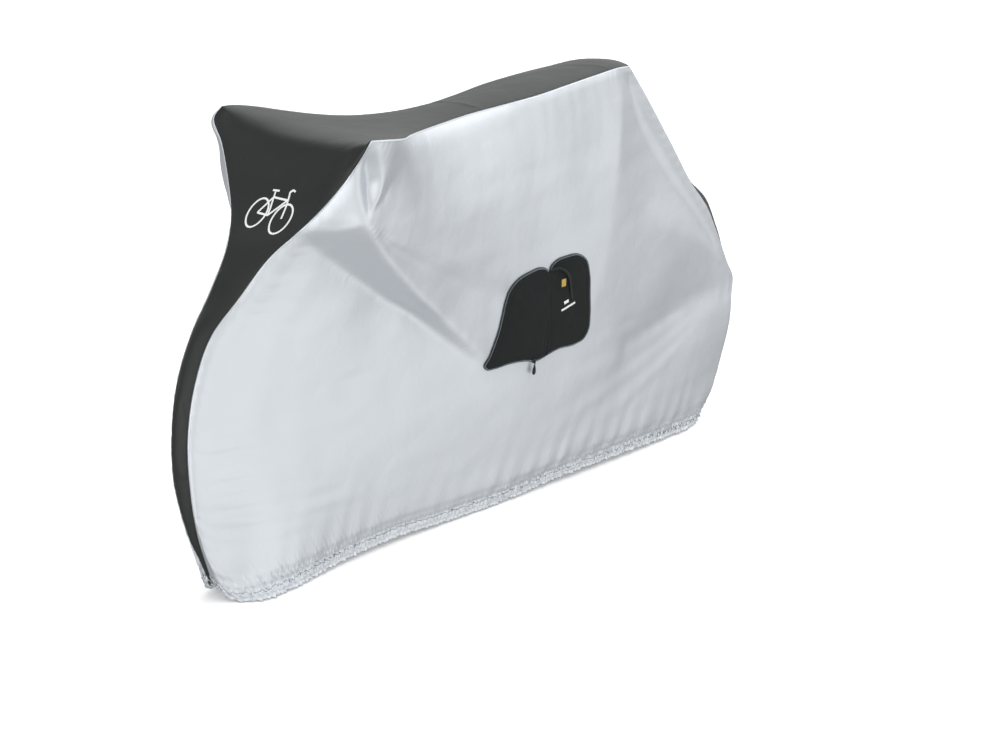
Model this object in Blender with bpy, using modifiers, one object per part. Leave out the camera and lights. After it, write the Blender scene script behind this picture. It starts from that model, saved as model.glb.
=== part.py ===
"""Fitted bicycle cover, modelled as it hangs: two silver side panels, one dark centre panel that
runs over the handlebar and saddle, and the cover's own storage pouch, zipped open on the near side.

Metres, +Z up. +X runs towards the rear wheel and the near side panel faces -Y. The origin is on
the ground under the middle of the cover.
"""
import bmesh
import bpy
import math
import numpy as np
from mathutils import Vector
from mathutils.bvhtree import BVHTree

# The tables count from a point on the bicycle's own plane. The cover's middle lies this far to the
# rear and to the far side of it, because the cloth hangs further out past the far bar end.
MIDDLE = Vector((0.012, 0.014, 0.000))

# Cloth and seams.
CLOTH = 0.0015
LEAF = 0.0030
GAP = 0.0003
SEAM_GAP = 0.0006
SHOULDER = 0.005
SHOULDER_REACH = 0.024

# Cells of the cloth: up a side panel, along a side panel and across the centre panel.
ROWS_UP = 19
COLUMNS_ALONG = 34
CELLS_ACROSS = 6
EDGE_CROWDING = 0.45

# The centre panel's sections. x and z place its seams, near and far are their distances from the
# cover's middle plane, crown is how far the middle of the section stands out and sag how far it
# drops. First up the front, from the hem to the bar end.
#     x       z      near   far    crown   sag
FRONT_SECTIONS = [
    (-0.807, 0.040, 0.011, 0.003, 0.002, 0.000),
    (-0.823, 0.080, 0.018, 0.003, 0.003, 0.000),
    (-0.846, 0.150, 0.024, 0.008, 0.008, 0.000),
    (-0.865, 0.260, 0.030, 0.024, 0.010, 0.000),
    (-0.865, 0.380, 0.030, 0.024, 0.010, 0.000),
    (-0.841, 0.490, 0.030, 0.027, 0.010, 0.000),
    (-0.797, 0.585, 0.034, 0.027, 0.009, 0.000),
    (-0.737, 0.654, 0.050, 0.040, 0.006, 0.000),
    (-0.673, 0.746, 0.090, 0.057, 0.002, 0.000),
    (-0.631, 0.789, 0.120, 0.098, 0.000, 0.000),
    (-0.582, 0.851, 0.160, 0.168, -0.003, 0.000),
    (-0.554, 0.912, 0.200, 0.221, -0.004, 0.002),
    (-0.541, 0.957, 0.228, 0.259, -0.008, 0.012),
    (-0.534, 0.982, 0.239, 0.240, -0.012, 0.024),
]
# Along the top, from the bar end to the saddle's rear corner.
TOP_SECTIONS = [
    (-0.534, 0.982, 0.239, 0.240, -0.012, 0.024),
    (-0.500, 0.979, 0.243, 0.246, -0.004, 0.020),
    (-0.450, 0.971, 0.230, 0.230, 0.000, 0.015),
    (-0.400, 0.960, 0.195, 0.195, 0.001, 0.008),
    (-0.350, 0.951, 0.153, 0.153, 0.003, 0.003),
    (-0.300, 0.945, 0.122, 0.122, 0.004, 0.000),
    (-0.200, 0.942, 0.086, 0.086, 0.006, 0.000),
    (-0.100, 0.946, 0.072, 0.072, 0.007, 0.000),
    (0.000, 0.953, 0.078, 0.078, 0.007, 0.000),
    (0.100, 0.962, 0.089, 0.089, 0.006, 0.000),
    (0.200, 0.971, 0.086, 0.086, 0.007, 0.000),
    (0.300, 0.978, 0.078, 0.078, 0.009, 0.000),
    (0.400, 0.982, 0.066, 0.066, 0.010, 0.000),
    (0.443, 0.978, 0.055, 0.055, 0.008, 0.000),
]
# Up the rear, from the hem to the saddle's rear corner.
REAR_SECTIONS = [
    (0.785, 0.026, 0.014, 0.012, 0.004, 0.000),
    (0.818, 0.086, 0.028, 0.024, 0.008, 0.000),
    (0.854, 0.174, 0.031, 0.029, 0.009, 0.000),
    (0.879, 0.250, 0.031, 0.030, 0.010, 0.000),
    (0.888, 0.350, 0.031, 0.030, 0.010, 0.000),
    (0.866, 0.405, 0.031, 0.030, 0.012, 0.000),
    (0.812, 0.507, 0.032, 0.032, 0.024, 0.000),
    (0.772, 0.573, 0.034, 0.034, 0.027, 0.000),
    (0.702, 0.651, 0.036, 0.036, 0.012, 0.000),
    (0.622, 0.760, 0.038, 0.038, 0.002, 0.000),
    (0.530, 0.880, 0.042, 0.042, 0.002, 0.000),
    (0.478, 0.942, 0.047, 0.047, 0.006, 0.000),
    (0.443, 0.978, 0.055, 0.055, 0.008, 0.000),
]
NEAR = 2
FAR = 3
# The hem, from front to rear: x, z and how far the near and far panels' hems lie from the middle.
HEM_SECTIONS = [
    (-0.807, 0.040, 0.011, 0.003),
    (-0.803, 0.014, 0.025, 0.007),
    (-0.786, 0.003, 0.056, 0.014),
    (-0.755, 0.002, 0.090, 0.026),
    (-0.711, 0.002, 0.102, 0.052),
    (-0.650, 0.003, 0.093, 0.070),
    (-0.587, 0.004, 0.086, 0.075),
    (-0.470, 0.009, 0.064, 0.066),
    (-0.330, 0.011, 0.060, 0.060),
    (-0.190, 0.005, 0.060, 0.061),
    (0.030, 0.003, 0.061, 0.063),
    (0.220, 0.010, 0.060, 0.060),
    (0.450, 0.009, 0.056, 0.056),
    (0.610, 0.004, 0.050, 0.052),
    (0.700, 0.003, 0.042, 0.046),
    (0.762, 0.010, 0.030, 0.030),
    (0.785, 0.026, 0.014, 0.012),
]

# How far a side panel stands out from the middle plane. A row is a section at a share of the
# panel's length from the front, and a column is a share of the height from hem to top seam.
BELLY_HEIGHTS = (0.12, 0.30, 0.50, 0.66, 0.80, 0.92)
NEAR_BELLY = [
    (0.05, 0.062, 0.052, 0.053, 0.072, 0.170, 0.216),
    (0.10, 0.088, 0.068, 0.067, 0.096, 0.190, 0.218),
    (0.20, 0.086, 0.082, 0.083, 0.120, 0.170, 0.168),
    (0.30, 0.084, 0.096, 0.100, 0.134, 0.140, 0.122),
    (0.40, 0.086, 0.110, 0.124, 0.134, 0.117, 0.094),
    (0.50, 0.090, 0.120, 0.134, 0.124, 0.104, 0.086),
    (0.60, 0.092, 0.122, 0.132, 0.118, 0.102, 0.091),
    (0.70, 0.086, 0.110, 0.116, 0.108, 0.099, 0.096),
    (0.80, 0.078, 0.091, 0.092, 0.089, 0.087, 0.087),
    (0.90, 0.061, 0.067, 0.066, 0.065, 0.068, 0.072),
    (0.95, 0.050, 0.052, 0.050, 0.050, 0.053, 0.059),
]
FAR_BELLY = [
    (0.02, 0.010, 0.025, 0.034, 0.060, 0.136, 0.246),
    (0.05, 0.019, 0.034, 0.046, 0.074, 0.184, 0.248),
    (0.10, 0.048, 0.055, 0.065, 0.104, 0.208, 0.238),
    (0.20, 0.076, 0.078, 0.084, 0.130, 0.182, 0.180),
    (0.30, 0.082, 0.093, 0.104, 0.138, 0.142, 0.126),
    (0.40, 0.084, 0.106, 0.121, 0.130, 0.117, 0.096),
    (0.50, 0.088, 0.116, 0.128, 0.119, 0.101, 0.085),
    (0.60, 0.090, 0.117, 0.126, 0.113, 0.099, 0.089),
    (0.70, 0.085, 0.107, 0.112, 0.105, 0.097, 0.094),
    (0.80, 0.077, 0.090, 0.091, 0.088, 0.086, 0.086),
    (0.90, 0.060, 0.067, 0.067, 0.066, 0.069, 0.072),
    (0.95, 0.049, 0.052, 0.051, 0.051, 0.054, 0.060),
]

# Main folds of the side panels, each a straight crease from one place to another. start and end
# are its heights out of the cloth there, and each slope is how far it reaches on that side.
#    x0      z0     start    x1      z1     end    slope above, below
NEAR_FOLDS = [
    (-0.545, 0.960, 0.004, -0.535, 0.800, 0.026, 0.050, 0.060),
    (-0.631, 0.789, 0.004, -0.535, 0.800, 0.026, 0.070, 0.040),
    (-0.535, 0.800, 0.026, -0.392, 0.663, 0.028, 0.100, 0.045),
    (-0.392, 0.663, 0.028, -0.200, 0.480, 0.008, 0.100, 0.050),
    (-0.625, 0.772, -0.010, -0.425, 0.625, -0.026, 0.045, 0.100),
    (-0.425, 0.625, -0.026, -0.125, 0.400, -0.006, 0.050, 0.100),
    (-0.535, 0.800, 0.026, -0.200, 0.626, 0.008, 0.070, 0.050),
    (0.440, 0.950, 0.005, 0.405, 0.620, 0.004, 0.050, 0.060),
    (0.455, 0.930, -0.006, 0.590, 0.640, -0.007, 0.050, 0.050),
]
FAR_FOLDS = [
    (-0.540, 0.960, 0.006, -0.533, 0.810, 0.026, 0.050, 0.040),
    (-0.533, 0.810, 0.026, -0.270, 0.560, 0.012, 0.080, 0.050),
    (-0.640, 0.765, -0.008, -0.330, 0.540, -0.014, 0.050, 0.100),
    (-0.533, 0.810, 0.026, -0.120, 0.690, 0.005, 0.060, 0.060),
    (0.430, 0.950, 0.006, 0.360, 0.560, 0.003, 0.050, 0.060),
    (0.450, 0.930, -0.005, 0.640, 0.590, -0.004, 0.050, 0.050),
]
CREASE_SOFTNESS = 0.010

# The storage pouch: each leaf's corners as x and z, lower front round to upper front, the radius
# of each corner, and its cells along and up.
FRONT_LEAF = [(-0.100, 0.369), (0.0862, 0.355), (0.0842, 0.576), (-0.046, 0.560)]
FRONT_LEAF_RADII = (0.014, 0.014, 0.018, 0.042)
REAR_LEAF = [(0.0868, 0.361), (0.235, 0.366), (0.228, 0.589), (0.0848, 0.576)]
REAR_LEAF_RADII = (0.008, 0.030, 0.034, 0.018)
LEAF_CELLS = (12, 12)
POUCH_CLEARANCE = 0.0022
LEAF_FACE = POUCH_CLEARANCE + LEAF + 3 * GAP
ZIP_RADIUS = 0.0019

SLIDER_AT = (0.058, 0.3545)
SLIDER_SIZE = (0.007, 0.004, 0.010)
PULL_SIZE = (0.005, 0.0016, 0.026)
STRAP_WIDTH = 0.009
STRAP_THICKNESS = 0.0012
STRAP_ROUTE = [(0.098, 0.571), (0.126, 0.570), (0.148, 0.556), (0.158, 0.535), (0.166, 0.500)]
LABEL_AT = (0.136, 0.531)
LABEL_SIZE = (0.014, 0.0010, 0.022)


# ---- small tools -------------------------------------------------------------------------------

def clear_scene():
    for thing in list(bpy.data.objects):
        bpy.data.objects.remove(thing)


def new_collection(name):
    collection = bpy.data.collections.new(name)
    bpy.context.scene.collection.children.link(collection)
    return collection


def finish(name, colour, roughness, metallic=0.0):
    material = bpy.data.materials.new(name)
    material.use_nodes = True
    shader = material.node_tree.nodes["Principled BSDF"]
    shader.inputs["Base Color"].default_value = (*colour, 1.0)
    shader.inputs["Roughness"].default_value = roughness
    shader.inputs["Metallic"].default_value = metallic
    return material


def smooth(knots, values, at):
    """Read a smooth line through values at rising knots: cubic pieces with central slopes."""
    knots = np.asarray(knots, float)
    values = np.asarray(values, float)
    at = np.asarray(at, float)
    slopes = np.gradient(values, knots, axis=0)
    piece = np.clip(np.searchsorted(knots, at) - 1, 0, len(knots) - 2)
    step = knots[piece + 1] - knots[piece]
    share = (at - knots[piece]) / step
    if values.ndim > 1:
        step = step[:, None]
        share = share[:, None]
    ends = values[piece] * (1 + 2 * share) + slopes[piece] * step * share
    starts = values[piece + 1] * (3 - 2 * share) + slopes[piece + 1] * step * (share - 1)
    return ends * (1 - share) ** 2 + starts * share ** 2


def along(sections, shares):
    """Sections read at shares of the length of the line that their x and z draw."""
    rows = np.array(sections, float)
    steps = np.hypot(np.diff(rows[:, 0]), np.diff(rows[:, 1]))
    length = np.concatenate([[0.0], np.cumsum(steps)])
    return smooth(length / length[-1], rows, shares)


def crowded(cells):
    """Shares from 0 to 1 that crowd towards both ends, where the cloth turns at its seams."""
    even = np.linspace(0.0, 1.0, cells + 1)
    return (1 - EDGE_CROWDING) * even + EDGE_CROWDING * (0.5 - 0.5 * np.cos(math.pi * even))


def unit(vectors):
    return vectors / np.linalg.norm(vectors, axis=-1, keepdims=True)


# ---- shapes of the cloth -----------------------------------------------------------------------

def blend_edges(left, right, low, high, s, t):
    """A Coons patch: a sheet between four edge lines that meet at their ends."""
    s = s[:, None]
    t = t[None, :]
    across = (1 - s) * left[None, :] + s * right[None, :]
    upward = (1 - t) * low[:, None] + t * high[:, None]
    corners = ((1 - s) * ((1 - t) * low[0] + t * high[0])
               + s * ((1 - t) * low[-1] + t * high[-1]))
    return across + upward - corners


def fold_height(x, z, fold):
    """Height out of the cloth of one crease, sharp along its line and falling to both sides."""
    x0, z0, start, x1, z1, end, above, below = fold
    length = math.hypot(x1 - x0, z1 - z0)
    run_x = (x1 - x0) / length
    run_z = (z1 - z0) / length
    share = ((x - x0) * run_x + (z - z0) * run_z) / length
    held = np.clip(share, 0.0, 1.0)
    past = (share - held) * length
    side = (z - z0) * run_x - (x - x0) * run_z
    reach = np.where(side > 0, above, below)
    far = np.sqrt(side ** 2 + past ** 2 + CREASE_SOFTNESS ** 2) - CREASE_SOFTNESS
    return (start + (end - start) * held) * np.exp(-far / reach)


def side_panel(belly, folds, s, t, side):
    """Points of a side panel's middle surface, from front to rear and from hem to top."""
    seam = NEAR if side < 0 else FAR
    front = along(FRONT_SECTIONS, t)
    rear = along(REAR_SECTIONS, t)
    top = along(TOP_SECTIONS, s)
    hem = along(HEM_SECTIONS, s)
    x = blend_edges(front[:, 0], rear[:, 0], hem[:, 0], top[:, 0], s, t)
    z = blend_edges(front[:, 1], rear[:, 1], hem[:, 1], top[:, 1], s, t)

    stations = np.array([0.0] + [row[0] for row in belly] + [1.0])
    heights = np.array([0.0, *BELLY_HEIGHTS, 1.0])
    table = np.zeros((len(stations), len(heights)))
    table[0] = along(FRONT_SECTIONS, heights)[:, seam]
    table[-1] = along(REAR_SECTIONS, heights)[:, seam]
    table[:, 0] = along(HEM_SECTIONS, stations)[:, seam]
    table[:, -1] = along(TOP_SECTIONS, stations)[:, seam]
    table[1:-1, 1:-1] = [row[1:] for row in belly]
    out = smooth(heights, smooth(stations, table, s).T, t).T

    # Where ridges meet the highest counts, and where troughs meet the deepest.
    creases = np.array([fold_height(x, z, fold) for fold in folds])
    out = out + np.maximum(creases, 0.0).max(axis=0) + np.minimum(creases, 0.0).min(axis=0)

    # The cloth turns over a small shoulder just inside its sewn edges.
    length = x[-1] - x[0]
    inside = np.minimum(np.minimum(s[:, None] * length, (1 - s)[:, None] * length),
                        (1 - t)[None, :] * (z[:, -1:] - z[:, :1]))
    turn = np.clip(inside / SHOULDER_REACH, 0.0, 1.0)
    out = out + SHOULDER * np.sqrt(1 - (1 - turn) ** 2)

    # Whatever the table and folds leave at the edges is taken off, so that the seams meet.
    spare_front = out[0] - front[:, seam]
    spare_rear = out[-1] - rear[:, seam]
    spare_hem = out[:, 0] - hem[:, seam]
    spare_top = out[:, -1] - top[:, seam]
    out = out - blend_edges(spare_front, spare_rear, spare_hem, spare_top, s, t)
    return np.stack([x, side * out, z], axis=-1)


def centre_panel(s, t):
    """Points of the centre panel's middle surface: stations by points across, near side first."""
    front = along(FRONT_SECTIONS, t)
    top = along(TOP_SECTIONS, s)
    rear = along(REAR_SECTIONS, t)[::-1]
    rows = np.concatenate([front, top[1:], rear[1:]])
    path = rows[:, :2]
    ahead = unit(np.gradient(path, axis=0))
    outward = np.stack([-ahead[:, 1], ahead[:, 0]], axis=-1)
    share = np.linspace(0.0, 1.0, CELLS_ACROSS + 1)[None, :]
    bulge = 4 * share * (1 - share)
    crown = rows[:, 4:5] * bulge
    sag = rows[:, 5:6] * bulge
    x = path[:, :1] + outward[:, :1] * crown
    z = path[:, 1:] + outward[:, 1:] * crown - sag
    y = rows[:, FAR:FAR + 1] * share - rows[:, NEAR:NEAR + 1] * (1 - share)
    return np.stack([x, y, z], axis=-1)


def mitre(edge, inner, other_edge, other_inner):
    """Edge points drawn back so that two sheets meet at the seam a gap apart and don't cross."""
    back = unit(inner - edge)
    other = unit(other_inner - other_edge)
    fold = np.arccos(np.clip(np.sum(back * other, axis=-1), -1.0, 1.0))
    bend = math.pi - fold
    inset = SEAM_GAP / 2 + CLOTH / 2 * np.tan(bend / 2)
    return edge + back * inset[..., None]


def sewn_points():
    """The three panels' points, with each sewn edge drawn back from its seam."""
    s = crowded(COLUMNS_ALONG)
    t = crowded(ROWS_UP)
    near = side_panel(NEAR_BELLY, NEAR_FOLDS, s, t, -1)
    far = side_panel(FAR_BELLY, FAR_FOLDS, s, t, 1)
    centre = centre_panel(s, t)
    sewn_near = near.copy()
    sewn_far = far.copy()
    sewn_centre = centre.copy()
    for panel, sewn, edge, inner in ((near, sewn_near, 0, 1), (far, sewn_far, -1, -2)):
        legs = (
            (slice(0, ROWS_UP + 1), panel[0], panel[1], (0, slice(None))),
            (slice(ROWS_UP, ROWS_UP + COLUMNS_ALONG + 1), panel[:, -1], panel[:, -2],
             (slice(None), -1)),
            (slice(ROWS_UP + COLUMNS_ALONG, None), panel[-1, ::-1], panel[-2, ::-1],
             (-1, slice(None, None, -1))),
        )
        for stations, panel_edge, panel_inner, place in legs:
            strip_edge = centre[stations, edge]
            strip_inner = centre[stations, inner]
            moved = mitre(panel_edge, panel_inner, strip_edge, strip_inner)
            sewn[place] += moved - panel_edge
            moved = mitre(strip_edge, strip_inner, panel_edge, panel_inner)
            sewn_centre[stations, edge] = moved
    return sewn_near, sewn_far, sewn_centre


# ---- pieces ------------------------------------------------------------------------------------

def sheet(name, points, thickness, material, collection):
    """A grid of cloth moved onto points[i, j], made solid to both sides of that surface."""
    columns, rows = points.shape[0] - 1, points.shape[1] - 1
    mesh = bpy.data.meshes.new(name)
    shape = bmesh.new()
    bmesh.ops.create_grid(shape, x_segments=columns, y_segments=rows, size=0.5)
    for vertex in shape.verts:
        i = round((vertex.co.x + 0.5) * columns)
        j = round((vertex.co.y + 0.5) * rows)
        vertex.co = Vector(points[i, j])
    shape.to_mesh(mesh)
    shape.free()
    mesh.shade_smooth()
    piece = bpy.data.objects.new(name, mesh)
    piece.location = -MIDDLE
    piece.data.materials.append(material)
    collection.objects.link(piece)
    solid = piece.modifiers.new("thickness", "SOLIDIFY")
    solid.thickness = thickness
    solid.offset = 0.0
    return piece


def surface_finder(points):
    """Finds where the near panel's outer face lies, seen square on, from its x and z."""
    columns, rows = points.shape[:2]
    corners = [Vector(p) for p in points.reshape(-1, 3)]
    faces = []
    for i in range(columns - 1):
        for j in range(rows - 1):
            first = i * rows + j
            faces.append((first, first + rows, first + rows + 1, first + 1))
    tree = BVHTree.FromPolygons(corners, faces)

    def outer_y(x, z):
        hit = tree.ray_cast(Vector((x, -1.0, z)), Vector((0.0, 1.0, 0.0)))[0]
        return hit.y - CLOTH / 2
    return outer_y


def leaf_points(corners, radii, cells, grow=0.0):
    """x and z of a grid that fills a four-cornered leaf whose corners are rounded."""
    columns, rows = cells
    lower_left, lower_right, upper_right, upper_left = [np.array(c) for c in corners]
    width = np.linalg.norm(lower_right - lower_left) / 2
    height = np.linalg.norm(upper_left - lower_left) / 2
    grid = np.zeros((columns + 1, rows + 1, 2))
    for i in range(columns + 1):
        for j in range(rows + 1):
            a = (2 * i / columns - 1) * width
            b = (2 * j / rows - 1) * height
            if b < 0:
                radius = radii[0] if a < 0 else radii[1]
            else:
                radius = radii[3] if a < 0 else radii[2]
            core_a = min(max(a, radius - width), width - radius)
            core_b = min(max(b, radius - height), height - radius)
            off_a = a - core_a
            off_b = b - core_b
            round_off = math.hypot(off_a, off_b)
            if round_off > 0:
                shrink = max(abs(off_a), abs(off_b)) / round_off
                a = core_a + off_a * shrink
                b = core_b + off_b * shrink
            u = (a * (1 + grow / width) / width + 1) / 2
            v = (b * (1 + grow / height) / height + 1) / 2
            low = lower_left + (lower_right - lower_left) * u
            high = upper_left + (upper_right - upper_left) * u
            grid[i, j] = low + (high - low) * v
    return grid


def laid_on(grid, outer_y, stand):
    """Points of a small sheet whose middle lies a stand in front of the near panel."""
    points = np.zeros((*grid.shape[:2], 3))
    for i in range(grid.shape[0]):
        for j in range(grid.shape[1]):
            x, z = grid[i, j]
            points[i, j] = (x, outer_y(x, z) - stand, z)
    return points


def cord_piece(name, route, radius, material, collection):
    """A thin round piece along a route of points, with its ends filled."""
    curve = bpy.data.curves.new(name, "CURVE")
    curve.dimensions = "3D"
    curve.bevel_depth = radius
    curve.bevel_resolution = 1
    curve.use_fill_caps = True
    line = curve.splines.new("POLY")
    line.points.add(len(route) - 1)
    for point, place in zip(line.points, route):
        point.co = (*place, 1.0)
    curve.materials.append(material)
    piece = bpy.data.objects.new(name, curve)
    piece.location = -MIDDLE
    collection.objects.link(piece)
    return piece


def block(name, size, centre, material, collection, rounding):
    mesh = bpy.data.meshes.new(name)
    shape = bmesh.new()
    bmesh.ops.create_cube(shape, size=1.0)
    bmesh.ops.scale(shape, vec=Vector(size), verts=shape.verts)
    shape.to_mesh(mesh)
    shape.free()
    piece = bpy.data.objects.new(name, mesh)
    piece.location = Vector(centre) - MIDDLE
    piece.data.materials.append(material)
    collection.objects.link(piece)
    bevel = piece.modifiers.new("rounded edges", "BEVEL")
    bevel.width = rounding
    bevel.segments = 1
    return piece


def zip_route(corners, radii, outer_y, spine_first):
    """A route round a leaf's three open sides, just off its edge, from spine to spine."""
    stand = ZIP_RADIUS + POUCH_CLEARANCE
    grid = leaf_points(corners, radii, LEAF_CELLS, grow=ZIP_RADIUS + 2 * GAP)
    side, end = LEAF_CELLS
    if spine_first:
        ring = [(i, 0) for i in range(1, side)] + [(side, j) for j in range(end)]
        ring += [(i, end) for i in range(side, 0, -1)]
    else:
        ring = [(i, 0) for i in range(side - 1, 0, -1)] + [(0, j) for j in range(end)]
        ring += [(i, end) for i in range(0, side)]
    return [(grid[i, j][0], outer_y(*grid[i, j]) - stand, grid[i, j][1]) for i, j in ring]


def strap_points(outer_y):
    """The wrist loop's webbing: a flat band along its route, over the rear leaf."""
    route = np.array(STRAP_ROUTE)
    steps = np.linalg.norm(np.diff(route, axis=0), axis=1)
    length = np.concatenate([[0.0], np.cumsum(steps)])
    middle = smooth(length, route, np.linspace(0.0, length[-1], 13))
    ahead = unit(np.gradient(middle, axis=0))
    aside = np.stack([-ahead[:, 1], ahead[:, 0]], axis=-1)
    grid = np.stack([middle - aside * STRAP_WIDTH / 2, middle + aside * STRAP_WIDTH / 2], axis=1)
    return laid_on(grid, outer_y, LEAF_FACE + STRAP_THICKNESS / 2)


def build_cover():
    clear_scene()
    cover = new_collection("bicycle_cover")
    silver = finish("silver_cloth", (0.63, 0.66, 0.69), 0.42)
    charcoal = finish("charcoal_cloth", (0.028, 0.032, 0.032), 0.62)
    pouch_cloth = finish("pouch_cloth", (0.018, 0.021, 0.021), 0.70)
    zip_tape = finish("zip_tape", (0.035, 0.037, 0.040), 0.55)
    zip_metal = finish("slider_metal", (0.08, 0.08, 0.085), 0.35, 0.9)
    webbing = finish("webbing", (0.030, 0.033, 0.033), 0.60)
    label_cloth = finish("label_cloth", (0.62, 0.50, 0.20), 0.50)

    near, far, centre = sewn_points()
    sheet("side_panel_near", near, CLOTH, silver, cover)
    sheet("side_panel_far", far, CLOTH, silver, cover)
    sheet("centre_panel", centre, CLOTH, charcoal, cover)

    outer_y = surface_finder(near)
    stand = POUCH_CLEARANCE + LEAF / 2
    leaves = (
        ("pouch_leaf_front", "pouch_zip_front", FRONT_LEAF, FRONT_LEAF_RADII, False),
        ("pouch_leaf_rear", "pouch_zip_rear", REAR_LEAF, REAR_LEAF_RADII, True),
    )
    for leaf, zip_half, corners, radii, spine_first in leaves:
        grid = leaf_points(corners, radii, LEAF_CELLS)
        sheet(leaf, laid_on(grid, outer_y, stand), LEAF, pouch_cloth, cover)
        route = zip_route(corners, radii, outer_y, spine_first)
        cord_piece(zip_half, route, ZIP_RADIUS, zip_tape, cover)

    sheet("pouch_strap", strap_points(outer_y), STRAP_THICKNESS, webbing, cover)
    slider_x, slider_z = SLIDER_AT
    slider_y = outer_y(slider_x, slider_z) - LEAF_FACE - SLIDER_SIZE[1] / 2
    block("pouch_slider", SLIDER_SIZE, (slider_x, slider_y, slider_z), zip_metal, cover, 0.0008)
    pull_z = slider_z - SLIDER_SIZE[2] / 2 - GAP - PULL_SIZE[2] / 2
    block("pouch_pull", PULL_SIZE, (slider_x, slider_y, pull_z), webbing, cover, 0.0005)
    label_x, label_z = LABEL_AT
    label_y = outer_y(label_x, label_z) - LEAF_FACE - LABEL_SIZE[1] / 2
    block("pouch_label", LABEL_SIZE, (label_x, label_y, label_z), label_cloth, cover, 0.0003)


build_cover()
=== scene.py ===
"""Fitted bicycle cover of coated taffeta, as it hangs over a bicycle: silver side panels, a
charcoal centre panel from the front hem over the handlebar and saddle to the rear hem,
gathered hems, and the cover's own storage pouch, lying zipped open on the near side.

Metres, +Z up. +X runs towards the rear wheel and the near side panel faces -Y.
"""
import math

import bmesh
import bpy
import numpy as np
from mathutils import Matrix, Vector
from mathutils.bvhtree import BVHTree
from mathutils.geometry import delaunay_2d_cdt


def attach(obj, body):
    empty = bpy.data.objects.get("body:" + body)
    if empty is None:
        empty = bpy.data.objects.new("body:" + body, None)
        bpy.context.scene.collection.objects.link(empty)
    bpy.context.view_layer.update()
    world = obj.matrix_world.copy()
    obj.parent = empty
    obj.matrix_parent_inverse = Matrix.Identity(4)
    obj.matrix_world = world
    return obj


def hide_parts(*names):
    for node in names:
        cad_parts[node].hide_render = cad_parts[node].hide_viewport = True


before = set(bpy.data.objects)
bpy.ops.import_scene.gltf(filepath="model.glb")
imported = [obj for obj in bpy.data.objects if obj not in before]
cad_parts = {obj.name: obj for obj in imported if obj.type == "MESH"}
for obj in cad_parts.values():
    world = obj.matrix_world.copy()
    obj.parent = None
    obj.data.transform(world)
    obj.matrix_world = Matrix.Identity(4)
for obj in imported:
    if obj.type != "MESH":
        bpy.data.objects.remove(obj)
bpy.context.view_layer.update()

# The tables count from a point on the bicycle's own plane. The cover's middle lies this
# far from it.
MIDDLE = np.array((0.012, 0.014, 0.000))
# The tables of the cut and of the fold lines are in millimetres, and all else is in metres.
PER_METRE = 1000

# The cloth's thickness, and the small shoulder over which it turns just inside its seams.
CLOTH = 0.0009
SHOULDER = 0.005
SHOULDER_REACH = 0.024
# How far from a crease the cloth is held by it, and how close to one the table still counts.
FOLD_HOLD = 0.012
LINE_CLEARANCE = 0.055
# Rounds of softening: the cloth between the creases, and then a little of the creases too.
SOFT_PASSES = 60
CREASE_PASSES = 4
CREASE_GIVE = 0.40

# ---- the cut of the cover ----------------------------------------------------------------------
# The centre panel's sections. x and z place its seams, near and far are their distances from the
# bicycle's plane, crown is how far the middle of the section stands out and sag how far it drops.
# First up the front, from the hem to the bar end.
#    x    z  near  far crown sag
FRONT_SECTIONS = [
    (-807, 40, 11, 3, 2, 0),
    (-823, 80, 18, 3, 3, 0),
    (-846, 150, 24, 8, 8, 0),
    (-865, 260, 30, 24, 10, 0),
    (-865, 380, 30, 24, 10, 0),
    (-841, 490, 30, 27, 10, 0),
    (-797, 585, 34, 27, 9, 0),
    (-737, 654, 50, 40, 6, 0),
    (-673, 746, 90, 57, 2, 0),
    (-631, 789, 120, 98, 0, 0),
    (-582, 851, 160, 168, -3, 0),
    (-554, 912, 200, 221, -4, 2),
    (-541, 957, 228, 259, -8, 12),
    (-534, 982, 239, 240, -12, 24),
]
# Along the top, from the bar end to the saddle's rear corner.
TOP_SECTIONS = [
    (-534, 982, 239, 240, -12, 24),
    (-500, 979, 243, 246, -4, 20),
    (-450, 971, 230, 230, 0, 15),
    (-400, 960, 195, 195, 1, 8),
    (-350, 951, 153, 153, 3, 3),
    (-300, 945, 122, 122, 4, 0),
    (-200, 942, 86, 86, 6, 0),
    (-100, 946, 72, 72, 7, 0),
    (0, 953, 78, 78, 7, 0),
    (100, 962, 89, 89, 6, 0),
    (200, 971, 86, 86, 7, 0),
    (300, 978, 78, 78, 9, 0),
    (400, 982, 66, 66, 10, 0),
    (443, 978, 55, 55, 8, 0),
]
# Up the rear, from the hem to the saddle's rear corner.
REAR_SECTIONS = [
    (785, 26, 14, 12, 4, 0),
    (818, 86, 28, 24, 8, 0),
    (854, 174, 31, 29, 9, 0),
    (879, 250, 31, 30, 10, 0),
    (886, 330, 31, 30, 10, 0),
    (888, 366, 31, 30, 10, 0),
    (864, 409, 31, 30, 12, 0),
    (812, 507, 32, 32, 24, 0),
    (772, 573, 34, 34, 27, 0),
    (702, 651, 36, 36, 12, 0),
    (622, 760, 38, 38, 2, 0),
    (530, 880, 42, 42, 2, 0),
    (478, 942, 47, 47, 6, 0),
    (443, 978, 55, 55, 8, 0),
]
NEAR = 2
FAR = 3
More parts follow.
